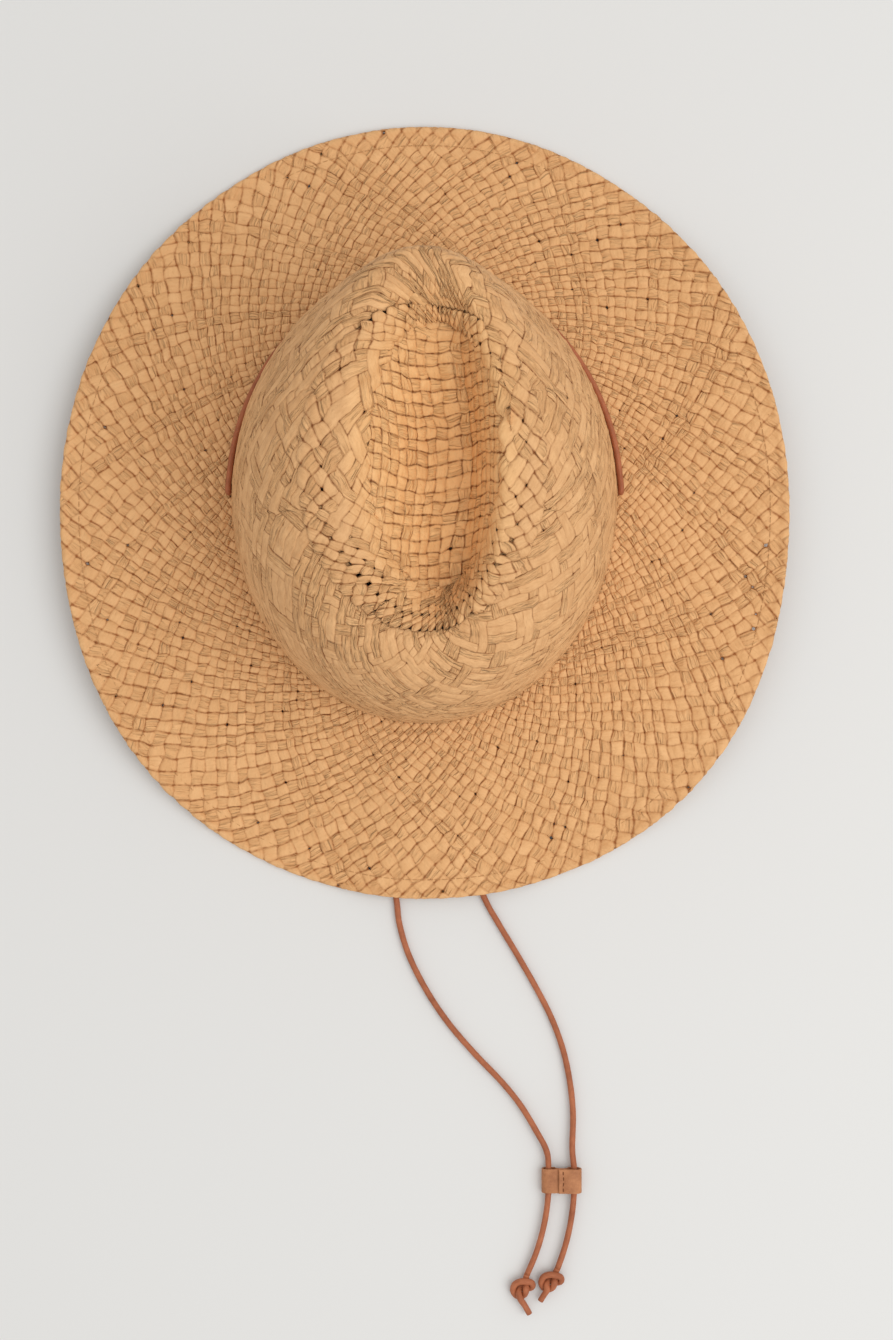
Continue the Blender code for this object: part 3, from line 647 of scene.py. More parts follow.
# %% Brim surface
BRIM_HALF_WIDTH, BRIM_HALF_LENGTH, BULGE_LEFT, BULGE_RIGHT = 0.169, 0.181, 0.0027, 0.0050
BRIM_CURVE, BRIM_SIDE_SAG = 0.6, 0.003
SIDE_RISE, SIDE_RISE_START = 0.013, 0.5
REAR_RISE, REAR_RISE_CENTRE, REAR_RISE_HALF_WIDTH, REAR_RISE_SLOPE = 0.0046, 0.007, 0.058, 1.7
HEM_WIDTH, WIRE_RADIUS = 0.009, 0.0005
FOOT_TUCK, FOOT_TUCK_RISE = 0.0006, 0.0004


def smooth(value):
    """A soft step from 0 to 1."""
    value = np.clip(value, 0, 1)
    return value * value * (3 - 2 * value)


def edge_point(u):
    """The brim's outline, reached along the normal of the crown's foot."""
    foot, normal = foot_point(u), foot_normal(u)
    halves = (BRIM_HALF_WIDTH, BRIM_HALF_LENGTH)
    from_middle, outward = foot[..., :2] / halves, normal[..., :2] / halves
    a, b = (outward ** 2).sum(-1), (from_middle * outward).sum(-1)
    c = (from_middle ** 2).sum(-1) - 1
    oval = foot + normal * ((-b + np.sqrt(b * b - a * c)) / a)[..., None]
    bulge = np.where(oval[..., 0] < 0, BULGE_LEFT, BULGE_RIGHT) * (oval[..., 1] < 0)
    bulge = bulge * np.sin(2 * np.arctan2(oval[..., 1], oval[..., 0])) ** 2
    return oval + normal * bulge[..., None]


def beside_middle(point):
    """1 at the brim's two sides, 0 in the middle."""
    across = np.abs(point[..., 0]) / BRIM_HALF_WIDTH
    return smooth((across - SIDE_RISE_START) / (1 - SIDE_RISE_START))


def hem_height(point):
    """How high the hem lies: it rises at both sides and in a short wave behind."""
    offset = np.abs(point[..., 0] - REAR_RISE_CENTRE) / REAR_RISE_HALF_WIDTH
    rear = REAR_RISE * smooth(REAR_RISE_SLOPE * (1 - offset)) * (point[..., 1] < 0)
    return SIDE_RISE * beside_middle(point) + rear


def hem_line():
    """The folded hem's section: over the wire, round the edge and back under, from the outline and hem."""
    half = BRIM_THICKNESS / 2
    loop = WIRE_RADIUS + GAP + half
    sheet = BRIM_THICKNESS + GAP
    line = [(-share * HEM_WIDTH, 0, sheet) for share in (1, 0.75, 0.5)]
    line += [(loop * cos(radians(turn)) - loop - half, 0, loop + loop * sin(radians(turn)))
             for turn in (90, 45, 0, -45, -90)]
    line += [(-share * HEM_WIDTH, 0, 0) for share in (0.5, 0.75, 1)]
    return as_array(even(through(line), 0.0005))


def brim_grid(u, columns=64):
    """The middle surface of the brim for each direction, from the crown's foot round the hem."""
    foot, normal, edge = foot_point(u), foot_normal(u), edge_point(u)
    width = np.linalg.norm(edge - foot, axis=-1)[:, None]
    flap = hem_height(edge)[:, None] + BRIM_THICKNESS / 2
    sheet = flap + BRIM_THICKNESS + GAP
    top = FOOT_HEIGHT - BRIM_THICKNESS / 2
    side = beside_middle(edge)[:, None]
    share = np.linspace(0, 1, columns)
    fall = (1 - share) ** 2 * (1 + BRIM_CURVE * share)
    away = (width - HEM_WIDTH) * share
    height = sheet + (top - sheet) * fall - BRIM_SIDE_SAG * side * np.sin(pi * share)
    away[:, 0] -= FOOT_TUCK
    height[:, 0] += FOOT_TUCK_RISE
    hem = hem_line()[1:]
    away = np.concatenate([away, width + hem[:, 0]], axis=1)
    height = np.concatenate([height, flap + hem[:, 2]], axis=1)
    grid = foot[:, None] + normal[:, None] * away[..., None]
    grid[..., 2] = height
    return grid, columns - 1


outline = edge_point(np.linspace(0, 2 * pi, 400))
print("brim in mm:", (1000 * np.ptp(outline[:, :2], axis=0)).round())

# %% [markdown]
# ## Front of the cord
# Between the two holes in the brim the cord lies round the front of the crown, close to its foot.  Both
# ends go down through the brim, where the free strands begin.

# %% Front run
FRONT_START = radians(3.2)
FRONT_STRETCH = 0.99
HOLE_BEND = 0.0022


def brim_top(angle):
    """Height of the brim's upper face where the cord lies."""
    grid, _ = brim_grid(np.array([angle]))
    away = np.linalg.norm(grid[0, 1:40, :2] - foot_point(np.array(angle))[:2], axis=-1)
    return float(np.interp(HOLE_OUTSET, away, grid[0, 1:40, 2])) + BRIM_THICKNESS / 2


def front_line():
    """Up through one hole, round the front and down through the other."""
    hole = cord_hole(1)
    bottom = FOOT_HEIGHT - BRIM_THICKNESS - 4 * GAP
    start = asin((HOLE_Y - CROWN_CENTRE_Y) / CROWN_HALF_LENGTH) + FRONT_START
    quarter = []
    for angle in np.linspace(start, pi / 2, 11):
        point = Vector(foot_point(np.array(angle), HOLE_OUTSET))
        point.z = brim_top(angle) + CORD_RADIUS + 2 * GAP
        quarter.append(point)
    bend = quarter[0].z
    rise = [hole + Vector((0, 0, bottom)), hole + Vector((0, 0, bottom + HOLE_BEND))]
    for turn in (radians(15), radians(70)):
        rise.append(hole + Vector((0, HOLE_BEND * (1 - cos(turn)), bend - HOLE_BEND * (1 - sin(turn)) * 0.5)))
    half = rise + quarter
    mirrored = [Vector((-point.x, point.y, point.z)) for point in reversed(half[:-1])]
    return even(through(half + mirrored, 6), CORD_SPACING)


front_path = front_line()
builder = Builder()
tube(builder, front_path, CORD_RADIUS * FRONT_STRETCH, CORD_SIDES, 0.6)
front_cord = builder.make("leather_cord_front", CORD_LEATHER)
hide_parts("chin_cord_front")

# %% [markdown]
# ## Sweatband
# A cloth tape lines the foot of the crown on the inside.  It is ribbed across, a little wavy where the
# stitches hold it, and sewn to the straw along its lower edge.

# %% Cloth tape
BAND_HEIGHT, BAND_THICKNESS = 0.030, 0.0010
CROWN_THICKNESS = 0.0011
BAND_FLAT_LENGTH = 0.578
BAND_RIPPLE, BAND_RIPPLES = 0.00012, 68
BAND_STITCH, BAND_SEAM_SHARE = 0.0042, 0.09


def band_cloth():
    """Cotton tape with fine ribs across it."""
    finish = Finish("band_cloth", roughness=0.85, Specular_IOR_Level=0.15, Sheen_Weight=0.2)
    along, across, number = finish.strand()
    ribs = along.math("SINE", along * 4200)
    threads = finish.streaks(along * 900, across * 60, number, 3.0, 0.6)
    # The ribs' low lines are painted darker and their crests lighter, as painted shade of their relief; the
    # threads' noise is the yarn's own tone.
    shade = (ribs * 0.18 + threads).over(0.2, 0.85)
    finish.feed("Base Color", finish.mix(shade, (196, 176, 146), (228, 212, 186)))
    finish.bump(ribs * 0.5 + threads * 0.4, 0.00015)
    return finish.material


def band_grid(depth, shares, u):
    """Points of the tape at that depth inside the crown's outer face; shares are of its height."""
    point = wall_point(u[:, None], shares * BAND_HEIGHT / (RIDGE_HEIGHT_FRONT - FOOT_HEIGHT))
    ripple = BAND_RIPPLE * np.sin(u * BAND_RIPPLES)[:, None] * (1 - shares * 0.5)
    return point - foot_normal(u)[:, None] * (depth + ripple)[..., None]


def make_band():
    """The tape as one closed ring with rounded edges, and its stitches."""
    u = np.arange(480) * 2 * pi / 480
    outer = CROWN_THICKNESS + BRIM_THICKNESS + 2.3 * GAP
    middle, inner = outer + BAND_THICKNESS / 2, outer + BAND_THICKNESS * 0.85
    rise = np.array([0.02, 0.05, 0.2, 0.4, 0.6, 0.8, 0.97, 0.995])
    faces = ((outer + 0.0001, rise), (middle, np.array([1.0])),
             (inner, rise[::-1]), (middle, np.array([0.012])))
    points = np.concatenate([band_grid(depth, shares, u) for depth, shares in faces], axis=1)
    across = np.concatenate([rise, [1], rise[::-1], [0]])
    builder = Builder()
    builder.rings(points, three(u[:, None] / (2 * pi) * BAND_FLAT_LENGTH, across, 0.5), 1.0, cyclic=True)
    band = builder.make("sweatband_cloth", band_cloth())
    builder, u = Builder(), np.append(u, 2 * pi)
    line = band_grid(inner, np.array([BAND_SEAM_SHARE]), u)[:, 0]
    stitch_row(builder, line, -foot_normal(u), BAND_STITCH, 0.72, 0.00025, 5)
    return band, builder.make("sweatband_stitches", STRAW_THREAD)


band, band_stitches = make_band()
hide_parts("sweatband")


# %% [markdown]
# ## The wire
# A thin steel wire in the fold keeps the brim's edge firm.  It can hardly be seen, so the CAD model's own
# wire stays, and only its material is made here.

# %% Wire in the hem
def wire_steel():
    """Drawn steel under a thin dull film."""
    finish = Finish("wire_steel", roughness=0.35, Metallic=1.0)
    place = finish.place()
    film = finish.noise(place, 600, 3.0)
    color = finish.mix(film.over(0.35, 0.65), (150, 150, 148), (196, 196, 194))
    finish.feed("Base Color", color)
    finish.feed("Roughness", 0.3 + film * 0.2)
    return finish.material


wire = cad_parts["brim_wire"]
for material_slot in wire.material_slots:
    material_slot.material = wire_steel()
print(f"{wire.name} keeps its shape")

# %% [markdown]
# ## A chart for the weave
# Woven straw hats are made in two families of strands, which both run out from the crown at about 45
# degrees to the radius, one leaning left and one right.  A chart gives every crossing a cell with whole
# numbers: `a` counts the strands of one family and `b` those of the other.  Going round the hat both grow
# together, and going outwards `a` grows while `b` falls.  How fast they do so is set from the size of the
# surface there, so that the cells stay about square.  Neither the corners nor the strands are quite even.

# %% Uneven corners
ROUND = 720
DIRECTIONS = np.arange(ROUND) * 2 * pi / ROUND
CORNER_SHIFT, STRAND_SHIFT = 0.26, 0.13
WAVER_ROUND = 0.008
PART_ROW = 0.25
print(f"{ROUND} directions round the hat")


def chance(i, j, strands, seed):
    """A fixed random number from 0 to 1 for a cell, the same after a full turn round the hat.

    seed is any whole number, and another one for each use, so that the draws don't follow each other.
    """
    across, around = i - j, np.mod(i + j, 2 * strands)
    wave = np.sin(across * 12.9898 + around * 78.233 + seed * 37.719) * 43758.5453
    return wave - np.floor(wave)


def uneven(a, b, strands):
    """Hand weaving is never even: every corner of the cells is a little out of place."""
    ia, ib = np.floor(a), np.floor(b)
    fa, fb = smooth(a - ia), smooth(b - ib)
    shift_a, shift_b = 0.0, 0.0
    for da, wa in ((0, 1 - fa), (1, fa)):
        for db, wb in ((0, 1 - fb), (1, fb)):
            shift_a = shift_a + wa * wb * (chance(ia + da, ib + db, strands, 11) - 0.5)
            shift_b = shift_b + wa * wb * (chance(ia + da, ib + db, strands, 13) - 0.5)
        row = np.mod(ia + da, strands)
        shift_a = shift_a + wa * STRAND_SHIFT / CORNER_SHIFT * np.sin(row * 5.3 + 0.35 * np.sin(b * 0.4))
    for db, wb in ((0, 1 - fb), (1, fb)):
        row = np.mod(ib + db, strands)
        shift_b = shift_b + wb * STRAND_SHIFT / CORNER_SHIFT * np.sin(row * 7.1 + 0.35 * np.sin(a * 0.4))
    return a + shift_a * CORNER_SHIFT, b + shift_b * CORNER_SHIFT


# %% A chart that winds round the hat
class SpiralChart:
    """Cells of two families of slanting strands on a surface grid (round, outwards, 3).

    lean is how much of a cell's width one row takes up, at the start and at the end of the grid; whole makes
    the rows a whole number, so that the last one can be an even ring; hidden tells where strands stop.
    """

    def __init__(self, grid, strands, lean=(1.0, 1.0), waver=0.2, whole=False, hidden=None):
        self.grid, self.strands, self.waver, self.hidden = grid, strands, waver, hidden
        out = np.gradient(grid, axis=1)
        around = (np.roll(grid, -1, axis=0) - np.roll(grid, 1, axis=0)) / 2
        self.normals = unit(np.cross(around, out))
        self.normals *= np.sign(self.normals[:, grid.shape[1] // 4, 2].mean())
        step = np.linalg.norm(np.diff(grid, axis=1), axis=-1).mean(axis=0)
        girth = np.linalg.norm(around, axis=-1).sum(axis=0)
        slant = np.linspace(lean[0], lean[1], len(step))
        rows = strands / (0.5 * (girth[1:] + girth[:-1])) * step * slant
        self.rows = np.concatenate([[0], np.cumsum(rows)])
        if whole:
            self.rows *= (np.round(self.rows[-1]) + PART_ROW) / self.rows[-1]
        self.high = self.rows[-1]

    def place(self, a, b):
        """Points and normals for cell numbers a and b."""
        a, b = uneven(a, b, self.strands)
        u = pi * (a + b) / self.strands
        out = (a - b) / 2
        calm = smooth(out / 2) * smooth((self.high - out) / 2)
        out = out + calm * self.waver * (np.sin(3 * u + 0.4) + 0.6 * np.sin(7 * u + 2 + 0.3 * out))
        u = u + calm * WAVER_ROUND * np.sin(2 * u + 1 + 0.5 * out)
        column = np.interp(out, self.rows, np.arange(len(self.rows)))
        return self.sample(u, column)

    def sample(self, u, column):
        """Points and normals at a direction and a column of the grid, between its points."""
        row = (u / (2 * pi) * ROUND) % ROUND
        r0 = np.floor(row).astype(int) % ROUND
        r1 = (r0 + 1) % ROUND
        c0 = np.clip(np.floor(column).astype(int), 0, self.grid.shape[1] - 2)
        fr = (row - np.floor(row))[..., None]
        fc = (column - c0)[..., None]
        mixed = []
        for table in (self.grid, self.normals):
            low = table[r0, c0] * (1 - fr) + table[r1, c0] * fr
            high = table[r0, c0 + 1] * (1 - fr) + table[r1, c0 + 1] * fr
            mixed.append(low * (1 - fc) + high * fc)
        point, normal = mixed
        return point, unit(normal)

    def span(self, family, index):
        """Where a strand starts and stops, in cells of the other family, cut where it would be hidden."""
        middle = index + 0.5
        sign = -1 if family == 0 else 1
        t = middle + sign * np.linspace(2 * self.high, 0, 400)
        if self.hidden is not None:
            fixed = np.full_like(t, middle)
            point, _ = self.place(fixed, t) if family == 0 else self.place(t, fixed)
            inside = self.hidden(point)
            if inside.any():
                t = t[:inside.argmax() + 1]
        return min(t[0], t[-1]), max(t[0], t[-1])


# %% [markdown]
# ## A woven ribbon
# Each strand is a flat paper ribbon that passes over and under those of the other family.  It is a closed
# ring of points, wide and thin, swept along the chart: high where it lies on top, low where it dives under,
# a little narrower where it changes sides, which leaves the small dark holes at the corners of the cells.
# Most ribbons of one family lie smooth, as flat rounded blocks; most of the other family are creased
# lengthways by the pull of the weave.  A cloth simulation could press them together, but this rule gives
# the same relief, and the same result each time.

# %% Ribbon maker
STEPS = np.array([0.0, 0.17, 0.38, 0.62, 0.83])
UNDERSIDE = (0.45, -0.45)
RIBBON_FILL, DRIFT = 0.58, 0.03
STRAND_PITCH = 0.0045
CORNER_REACH, RARE_HOLE, SINK_LENGTH = 0.05, 0.93, 0.35
TABLE_GAP = 0.0003


def keep_relief(point):
    """The plain choice for relief: the same height everywhere."""
    return np.ones(point.shape[:-1])


def no_openwork(out, u):
    """The plain choice for openwork: no extra holes."""
    return 0.0 * out


class Weave:
    """How one zone of the hat is woven.

    over tells which family is on top in a cell.  pinch and holes say how much ribbons narrow and draw back
    where they change sides, relief how high they stand at a point, and openwork where more holes are.
    creased is the share of creased ribbons in each family, and sunk is how deep the ends dive.
    """

    def __init__(self, chart, over, height=0.00070, thickness=0.00026, pinch=0.12, holes=0.14,
                 relief=keep_relief, openwork=no_openwork, creased=(0.15, 0.85), sunk=0.0):
        self.chart, self.over, self.height, self.thickness = chart, over, height, thickness
        self.pinch, self.holes, self.relief, self.openwork = pinch, holes, relief, openwork
        self.creased, self.sunk = creased, sunk

    def is_creased(self, family, index):
        """Whether a strand is creased: a fixed draw for each."""
        return chance(index, index, self.chart.strands, 21 + family) < self.creased[family]

    def side(self, family, index, t):
        """+1 where the strand lies on top, -1 where it lies under, for whole cells t."""
        i, j = (index, t) if family == 0 else (t, index)
        return np.where(self.over(i, j) == (family == 0), 1.0, -1.0)

    def opening(self, a, b):
        """How far the strands draw back from the nearest corner of the cells."""
        corner_a, corner_b = np.round(a), np.round(b)
        near = np.exp(-((a - corner_a) ** 2 + (b - corner_b) ** 2) / CORNER_REACH)
        luck = chance(corner_a, corner_b, self.chart.strands, 5)
        draw = self.holes * smooth((luck - RARE_HOLE) / (1 - RARE_HOLE))
        u = np.mod(pi * (corner_a + corner_b) / self.chart.strands, 2 * pi)
        return near * np.maximum(draw, self.openwork((corner_a - corner_b) / 2, u) * (0.5 + 0.8 * luck))

    def timing(self, family, index, start, stop):
        """Places along a strand, their cells, and how high the strand lies there, from -1 to 1."""
        t = (np.arange(np.floor(start), np.ceil(stop))[:, None] + STEPS).ravel()
        t = np.concatenate([[start], t[(t > start) & (t < stop)], [stop]])
        cell = np.floor(t)
        inside = t - cell
        here = self.side(family, index, cell)
        beside = self.side(family, index, cell + np.where(inside < 0.5, -1, 1))
        middle = (here + beside) / 2
        rise = middle + (here - middle) * np.sin(pi * inside) ** 0.75
        return t, cell, inside, rise, np.abs(here - beside) / 2

    def strand(self, builder, family, index, start, stop):
        """One ribbon; columns are places across its top from -1 to 1, pleats their crease heights."""
        columns, pleats = CREASED if self.is_creased(family, index) else SMOOTH
        strands = self.chart.strands
        t, cell, inside, rise, changes = self.timing(family, index, start, stop)
        key = (index, cell) if family == 0 else (cell, index)
        luck, other_luck = chance(*key, strands, 1 + family), chance(*key, strands, 3 + family)
        half = RIBBON_FILL * (0.97 + 0.06 * luck)
        half = half * (1 - self.pinch * changes * np.abs(2 * inside - 1) ** 3)
        drift = DRIFT * np.sin(t * 1.7 + index * 2.1) + DRIFT * (other_luck - 0.5) * np.sin(pi * inside)
        rise, luck, along = rise[:, None], luck[:, None], t[:, None]
        across = np.append(columns, UNDERSIDE)
        own = index + 0.5 + drift[:, None] + across * half[:, None]
        other = np.broadcast_to(along, own.shape)
        draw = self.opening(*((own, other) if family == 0 else (other, own)))
        own = own - np.sign(across) * draw * (np.abs(across) > 0.3)
        point, normal = self.chart.place(*((own, other) if family == 0 else (other, own)))
        press = self.relief(point) * (0.75 + 0.5 * luck)
        fold = np.append(np.arange(len(columns)), (0, 0)) * 2.4
        crease = np.append(pleats, (0, 0)) * (0.6 + 0.7 * np.sin(fold + 9 * luck + 2.1 * along))
        top = np.append(np.ones(len(columns)), (-1, -1))
        top = np.where(np.abs(across) > 0.99, 0.0, top)
        level = self.height * press * rise * (1 - 0.65 * across ** 2)
        level = level + top * self.thickness / 2 + crease * press * (top > 0)
        from_end = np.minimum(along - start, stop - along)
        level = level - self.sunk * smooth(1 - from_end / SINK_LENGTH)
        ring = point + normal * level[..., None]
        ring[..., 2] = (ring[..., 2] + np.hypot(ring[..., 2], TABLE_GAP)) / 2
        number = chance(index, index, strands, 51 + family)
        builder.rings(ring, three(along * STRAND_PITCH, across, number), np.abs(rise))


# %% Pieces of weave
SHORTEST_CELLS = 1
SMOOTH = np.array([-1.0, -0.93, -0.5, 0.0, 0.5, 0.93, 1.0]), np.array([0, 0, 0.00003, 0.00005, 0.00003, 0, 0])
CREASED = (np.array([-1.0, -0.93, -0.62, -0.3, 0.04, 0.36, 0.68, 0.93, 1.0]),
           np.array([0, 0, 0.00017, -0.00013, 0.00017, -0.00014, 0.00016, 0, 0]))


def weave_pieces(weave, zone, materials, parts, indices=None):
    """Weaves both families of a zone, sorted into smooth and creased strands, and returns the objects."""
    names = [f"{zone}_{kind}_straw" for kind in ("smooth", "creased")]
    strands = [(family, index) for index in (indices or range(weave.chart.strands)) for family in (0, 1)]
    made = []
    for creased, (name, material) in enumerate(zip(names, materials)):
        chosen = [pair for pair in strands if weave.is_creased(*pair) == bool(creased)]
        for part in range(parts):
            builder = Builder()
            for family, index in chosen[part * len(chosen) // parts:(part + 1) * len(chosen) // parts]:
                span = weave.chart.span(family, index)
                if span and span[1] - span[0] > SHORTEST_CELLS:
                    weave.strand(builder, family, index, *span)
            made.append(builder.make(f"{name}_{part + 1}", material))
    return made


# %% [markdown]
# ## Straw
# Paper straw is matt and fibrous.  Each ribbon has fine streaks along it and a tone of its own.  Painted
# shade darkens the colour where a ribbon changes sides and dives under another, along the ribbons' edges, and
# in the valleys of their creases, where little light comes in.
# In and round the dent the straw is a little warmer and lighter in colour, which a soft oval in the material
# gives.

# %% Straw finishes
WARM_CENTRE, WARM_HALF_WIDTH, WARM_HALF_LENGTH = (0.005, 0.0165), 0.028, 0.056
WARM = (250, 201, 141), (226, 171, 111)


def straw(name, light, mid, dark, creased, warm=None):
    """Paper straw; warm holds the light and middle colours in and round the dent."""
    finish = Finish(name, roughness=0.62, Specular_IOR_Level=0.25)
    along, across, number = finish.strand()
    lift = finish.attribute("lift", 2)
    fibres = finish.streaks(along * 260, across * 3, number * 57, 3.0, 0.6)
    folds = finish.streaks(along * 130, across * (1.6 if creased else 1.0), number * 91).over(0.32, 0.6)
    # sides marks each ribbon's edges, where painted shade darkens the grooves between the ribbons.
    sides = across.size().over(0.7, 1.0)
    place = finish.place()
    if warm:
        x, y, _ = finish.axes(place)
        x, y = (x - WARM_CENTRE[0]) * (1 / WARM_HALF_WIDTH), (y - WARM_CENTRE[1]) * (1 / WARM_HALF_LENGTH)
        near = 1 - (x * x + y * y).over(0.4, 2.0)
        light, mid = finish.mix(near, light, warm[0]), finish.mix(near, mid, warm[1])
    cloud = finish.noise(place, 22, 2.0)
    crumple = finish.noise(place, 330, 2.0)
    patches = finish.streaks(along * 190, across * 0.3, number * 71)
    tone = (number * 0.1 + fibres * 0.5 + cloud * 0.15 + patches * 0.5).over(0.3, 0.95)
    color = finish.mix(tone, mid, light)
    cracks = finish.streaks(along * 330, across * 4, number * 23 + 5).over(0.66, 0.74)
    # Painted shade: darker where a ribbon changes sides and dives under another (low lift) and along its
    # edges, broken up by noise.
    ends = 1 - lift.over(0.0, 0.56)
    broken = finish.noise(place, 420, 1.0).over(0.36, 0.6)
    shade = (ends * 0.3 + sides * 0.85 if creased else ends * 0.85 + sides * 0.35) * (0.55 + broken * 0.75)
    color = finish.mix(shade + cracks * 0.2, color, dark)
    # Painted shade in the valleys of the folds; their relief itself comes from the bump.
    color = finish.mix((1 - folds) * (0.18 if creased else 0.05), color, dark)
    finish.feed("Base Color", color)
    finish.feed("Roughness", 0.56 + fibres * 0.18)
    finish.bump(folds * (1.0 if creased else 0.3) + fibres * 0.2 + crumple * 0.9, 0.0009)
    return finish.material


BRIM_STRAW = (straw("brim_straw_smooth", (238, 188, 134), (211, 158, 104), (160, 98, 50), False),
              straw("brim_straw_creased", (238, 187, 132), (210, 156, 102), (156, 96, 50), True))
CROWN_STRAW = (straw("crown_straw_smooth", (236, 188, 135), (198, 146, 96), (138, 82, 40), False, WARM),
               straw("crown_straw_creased", (236, 187, 133), (197, 145, 94), (134, 79, 38), True, WARM))

# %% [markdown]
# ## Brim and crown wall
# The brim is in plain weave, over one and under one.  New strands are added where the wall turns into the
# brim, so the brim has more of them.  The wall is a loose twill: its ribbons float over several others in
# rows that are shifted against each other, which gives the long slanting ribbons.  At the top it tucks
# under the ring of the crown's top, so that no gap shows between them.

# %% Grids of the wall and the brim
BRIM_STRANDS, WALL_STRANDS = 128, 78
RING_OVAL = (0, 0.010), 0.052, 0.068
WEAVE_DEPTH = 0.0005
TUCK, TUCK_SHARE, TUCK_OVERLAP = 0.0009, 0.07, 0.03
DEEPEST_SHARE = 1.96


def out_of_oval(point, centre, half_width, half_length):
    """Seen from above: 0 in the oval's middle and 1 on its line."""
    return np.hypot((point[..., 0] - centre[0]) / half_width, (point[..., 1] - centre[1]) / half_length)


def crossing_share(oval):
    """For each direction, the share of the crown at which it comes inside an oval."""
    share = np.linspace(0.5, 1.95, 1500)
    inside = out_of_oval(crown_point(DIRECTIONS[:, None], share), *oval) < 1
    return share[inside.argmax(axis=1)]


def share_further_in(share, distance):
    """For each direction, the share that lies this far further in over the surface, or the dent's floor."""
    shares = share[:, None] + (DEEPEST_SHARE - share[:, None]) * np.linspace(0, 1, 400)
    reach = reaches(crown_point(DIRECTIONS[:, None], shares))
    return np.array([np.interp(distance, reach[k], shares[k]) for k in range(ROUND)])


def crown_grid(start, stop, columns, tuck=0.0):
    """The middle of the woven crown between two shares for each direction; its start can tuck under."""
    share = start[:, None] + (stop - start)[:, None] * np.linspace(0, 1, 400)
    reach = reaches(crown_point(DIRECTIONS[:, None], share))
    even_share = np.stack([np.interp(np.linspace(0, reach[k, -1], columns), reach[k], share[k])
                           for k in range(ROUND)])
    grid = crown_point(DIRECTIONS[:, None], even_share)
    around = np.roll(grid, -1, axis=0) - np.roll(grid, 1, axis=0)
    normal = unit(np.cross(np.gradient(grid, axis=1), around))
    facing = np.sign((normal[:, 0] * foot_normal(DIRECTIONS)).sum(-1).mean() + normal[:, 0, 2].mean())
    depth = WEAVE_DEPTH + tuck * smooth(1 - np.linspace(0, 1, columns) / TUCK_SHARE)
    return grid - normal * facing * depth[:, None]


ring_share = crossing_share(RING_OVAL)
wall_grid = crown_grid(ring_share + TUCK_OVERLAP, np.zeros(ROUND), 90, TUCK)
brim_surface, hem_column = brim_grid(DIRECTIONS)
wall_chart = SpiralChart(wall_grid, WALL_STRANDS, (0.95, 1.15))
brim_chart = SpiralChart(brim_surface, BRIM_STRANDS, (1.05, 0.85))
print(f"rows of cells: wall {wall_chart.high:.1f}, brim {brim_chart.high:.1f}")


# %% Weave them
def plain(i, j):
    """Over one and under one."""
    return np.mod(i + j, 2) == 0


def tangled(i, j):
    """Floats over four, each strand shifted against the next."""
    return np.mod(i - j + np.floor(6 * chance(j, j, WALL_STRANDS, 31)), 6) < 2


HEM_PRESS, HEM_PRESS_EDGE = 0.45, 0.004


def hem_press(point):
    """The hem is pressed flatter than the rest of the brim."""
    edge = edge_point(np.arctan2((point[..., 1] - CROWN_CENTRE_Y) / CROWN_HALF_LENGTH,
                                 point[..., 0] / CROWN_HALF_WIDTH))
    inside = np.linalg.norm(edge[..., :2] - point[..., :2], axis=-1)
    return HEM_PRESS + (1 - HEM_PRESS) * smooth((inside - HEM_WIDTH) / HEM_PRESS_EDGE)


brim_weave = Weave(brim_chart, plain, relief=hem_press, creased=(0.85, 0.15))
brim_pieces = weave_pieces(brim_weave, "brim", BRIM_STRAW, 3)
wall_weave = Weave(wall_chart, tangled, height=0.00048, pinch=0.05, creased=(0.6, 0.45))
wall_pieces = weave_pieces(wall_weave, "wall", CROWN_STRAW, 3)

# %% [markdown]
# ## The hem's seam
# The straw is folded under round the wire and held by one row of small stitches, just inside the edge.

# %% Seam of the hem
HEM_STITCH, HEM_SEAM_HEIGHT = 0.0034, 0.00055
seam_u = np.append(DIRECTIONS, 2 * pi)
hem_points, hem_normals = brim_chart.sample(seam_u, np.full(len(seam_u), float(hem_column)))
builder = Builder()
stitch_row(builder, hem_points + hem_normals * HEM_SEAM_HEIGHT, hem_normals, HEM_STITCH, 0.8, 0.00016, 5)
brim_pieces.append(builder.make("hem_stitches", STRAW_THREAD))
for piece in brim_pieces:
    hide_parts("brim")
for piece in wall_pieces:
    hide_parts("crown")

# %% [markdown]
# ## Top of the crown
# The top has fewer strands than the wall, and a ring of small holes lets air through where they meet.  Its
# ribbons float over two or three in turns, like a herringbone, as far as the oval of the dent.

# %% The ring round the dent
TOP_STRANDS = 60
TOP_WIDTH = 0.034
RING_ROWS, RING_RELIEF, RING_HOLES = 2.2, 1.9, 0.24
DENT_OVAL = (0.005, 0.0165), 0.0275, 0.0555


def in_dent(point):
    """Whether points lie inside the dent's oval."""
    return out_of_oval(point, *DENT_OVAL) < 1


top_grid = crown_grid(share_further_in(ring_share, TOP_WIDTH), ring_share, 60)
top_chart = SpiralChart(top_grid, TOP_STRANDS, (0.8, 0.8), waver=0.1, whole=True, hidden=in_dent)
print(f"rows of cells in the top: {top_chart.high:.1f}")


def top_pattern(i, j):
    """Floats over two or three further in, and plain weave at the openwork ring."""
    near_ring = (i - j) / 2 > top_chart.high - RING_ROWS
    floats = np.mod(i - j + np.floor(4 * chance(j, j, TOP_STRANDS, 33)), 4) < 2
    return np.where(near_ring, plain(i, j), floats)


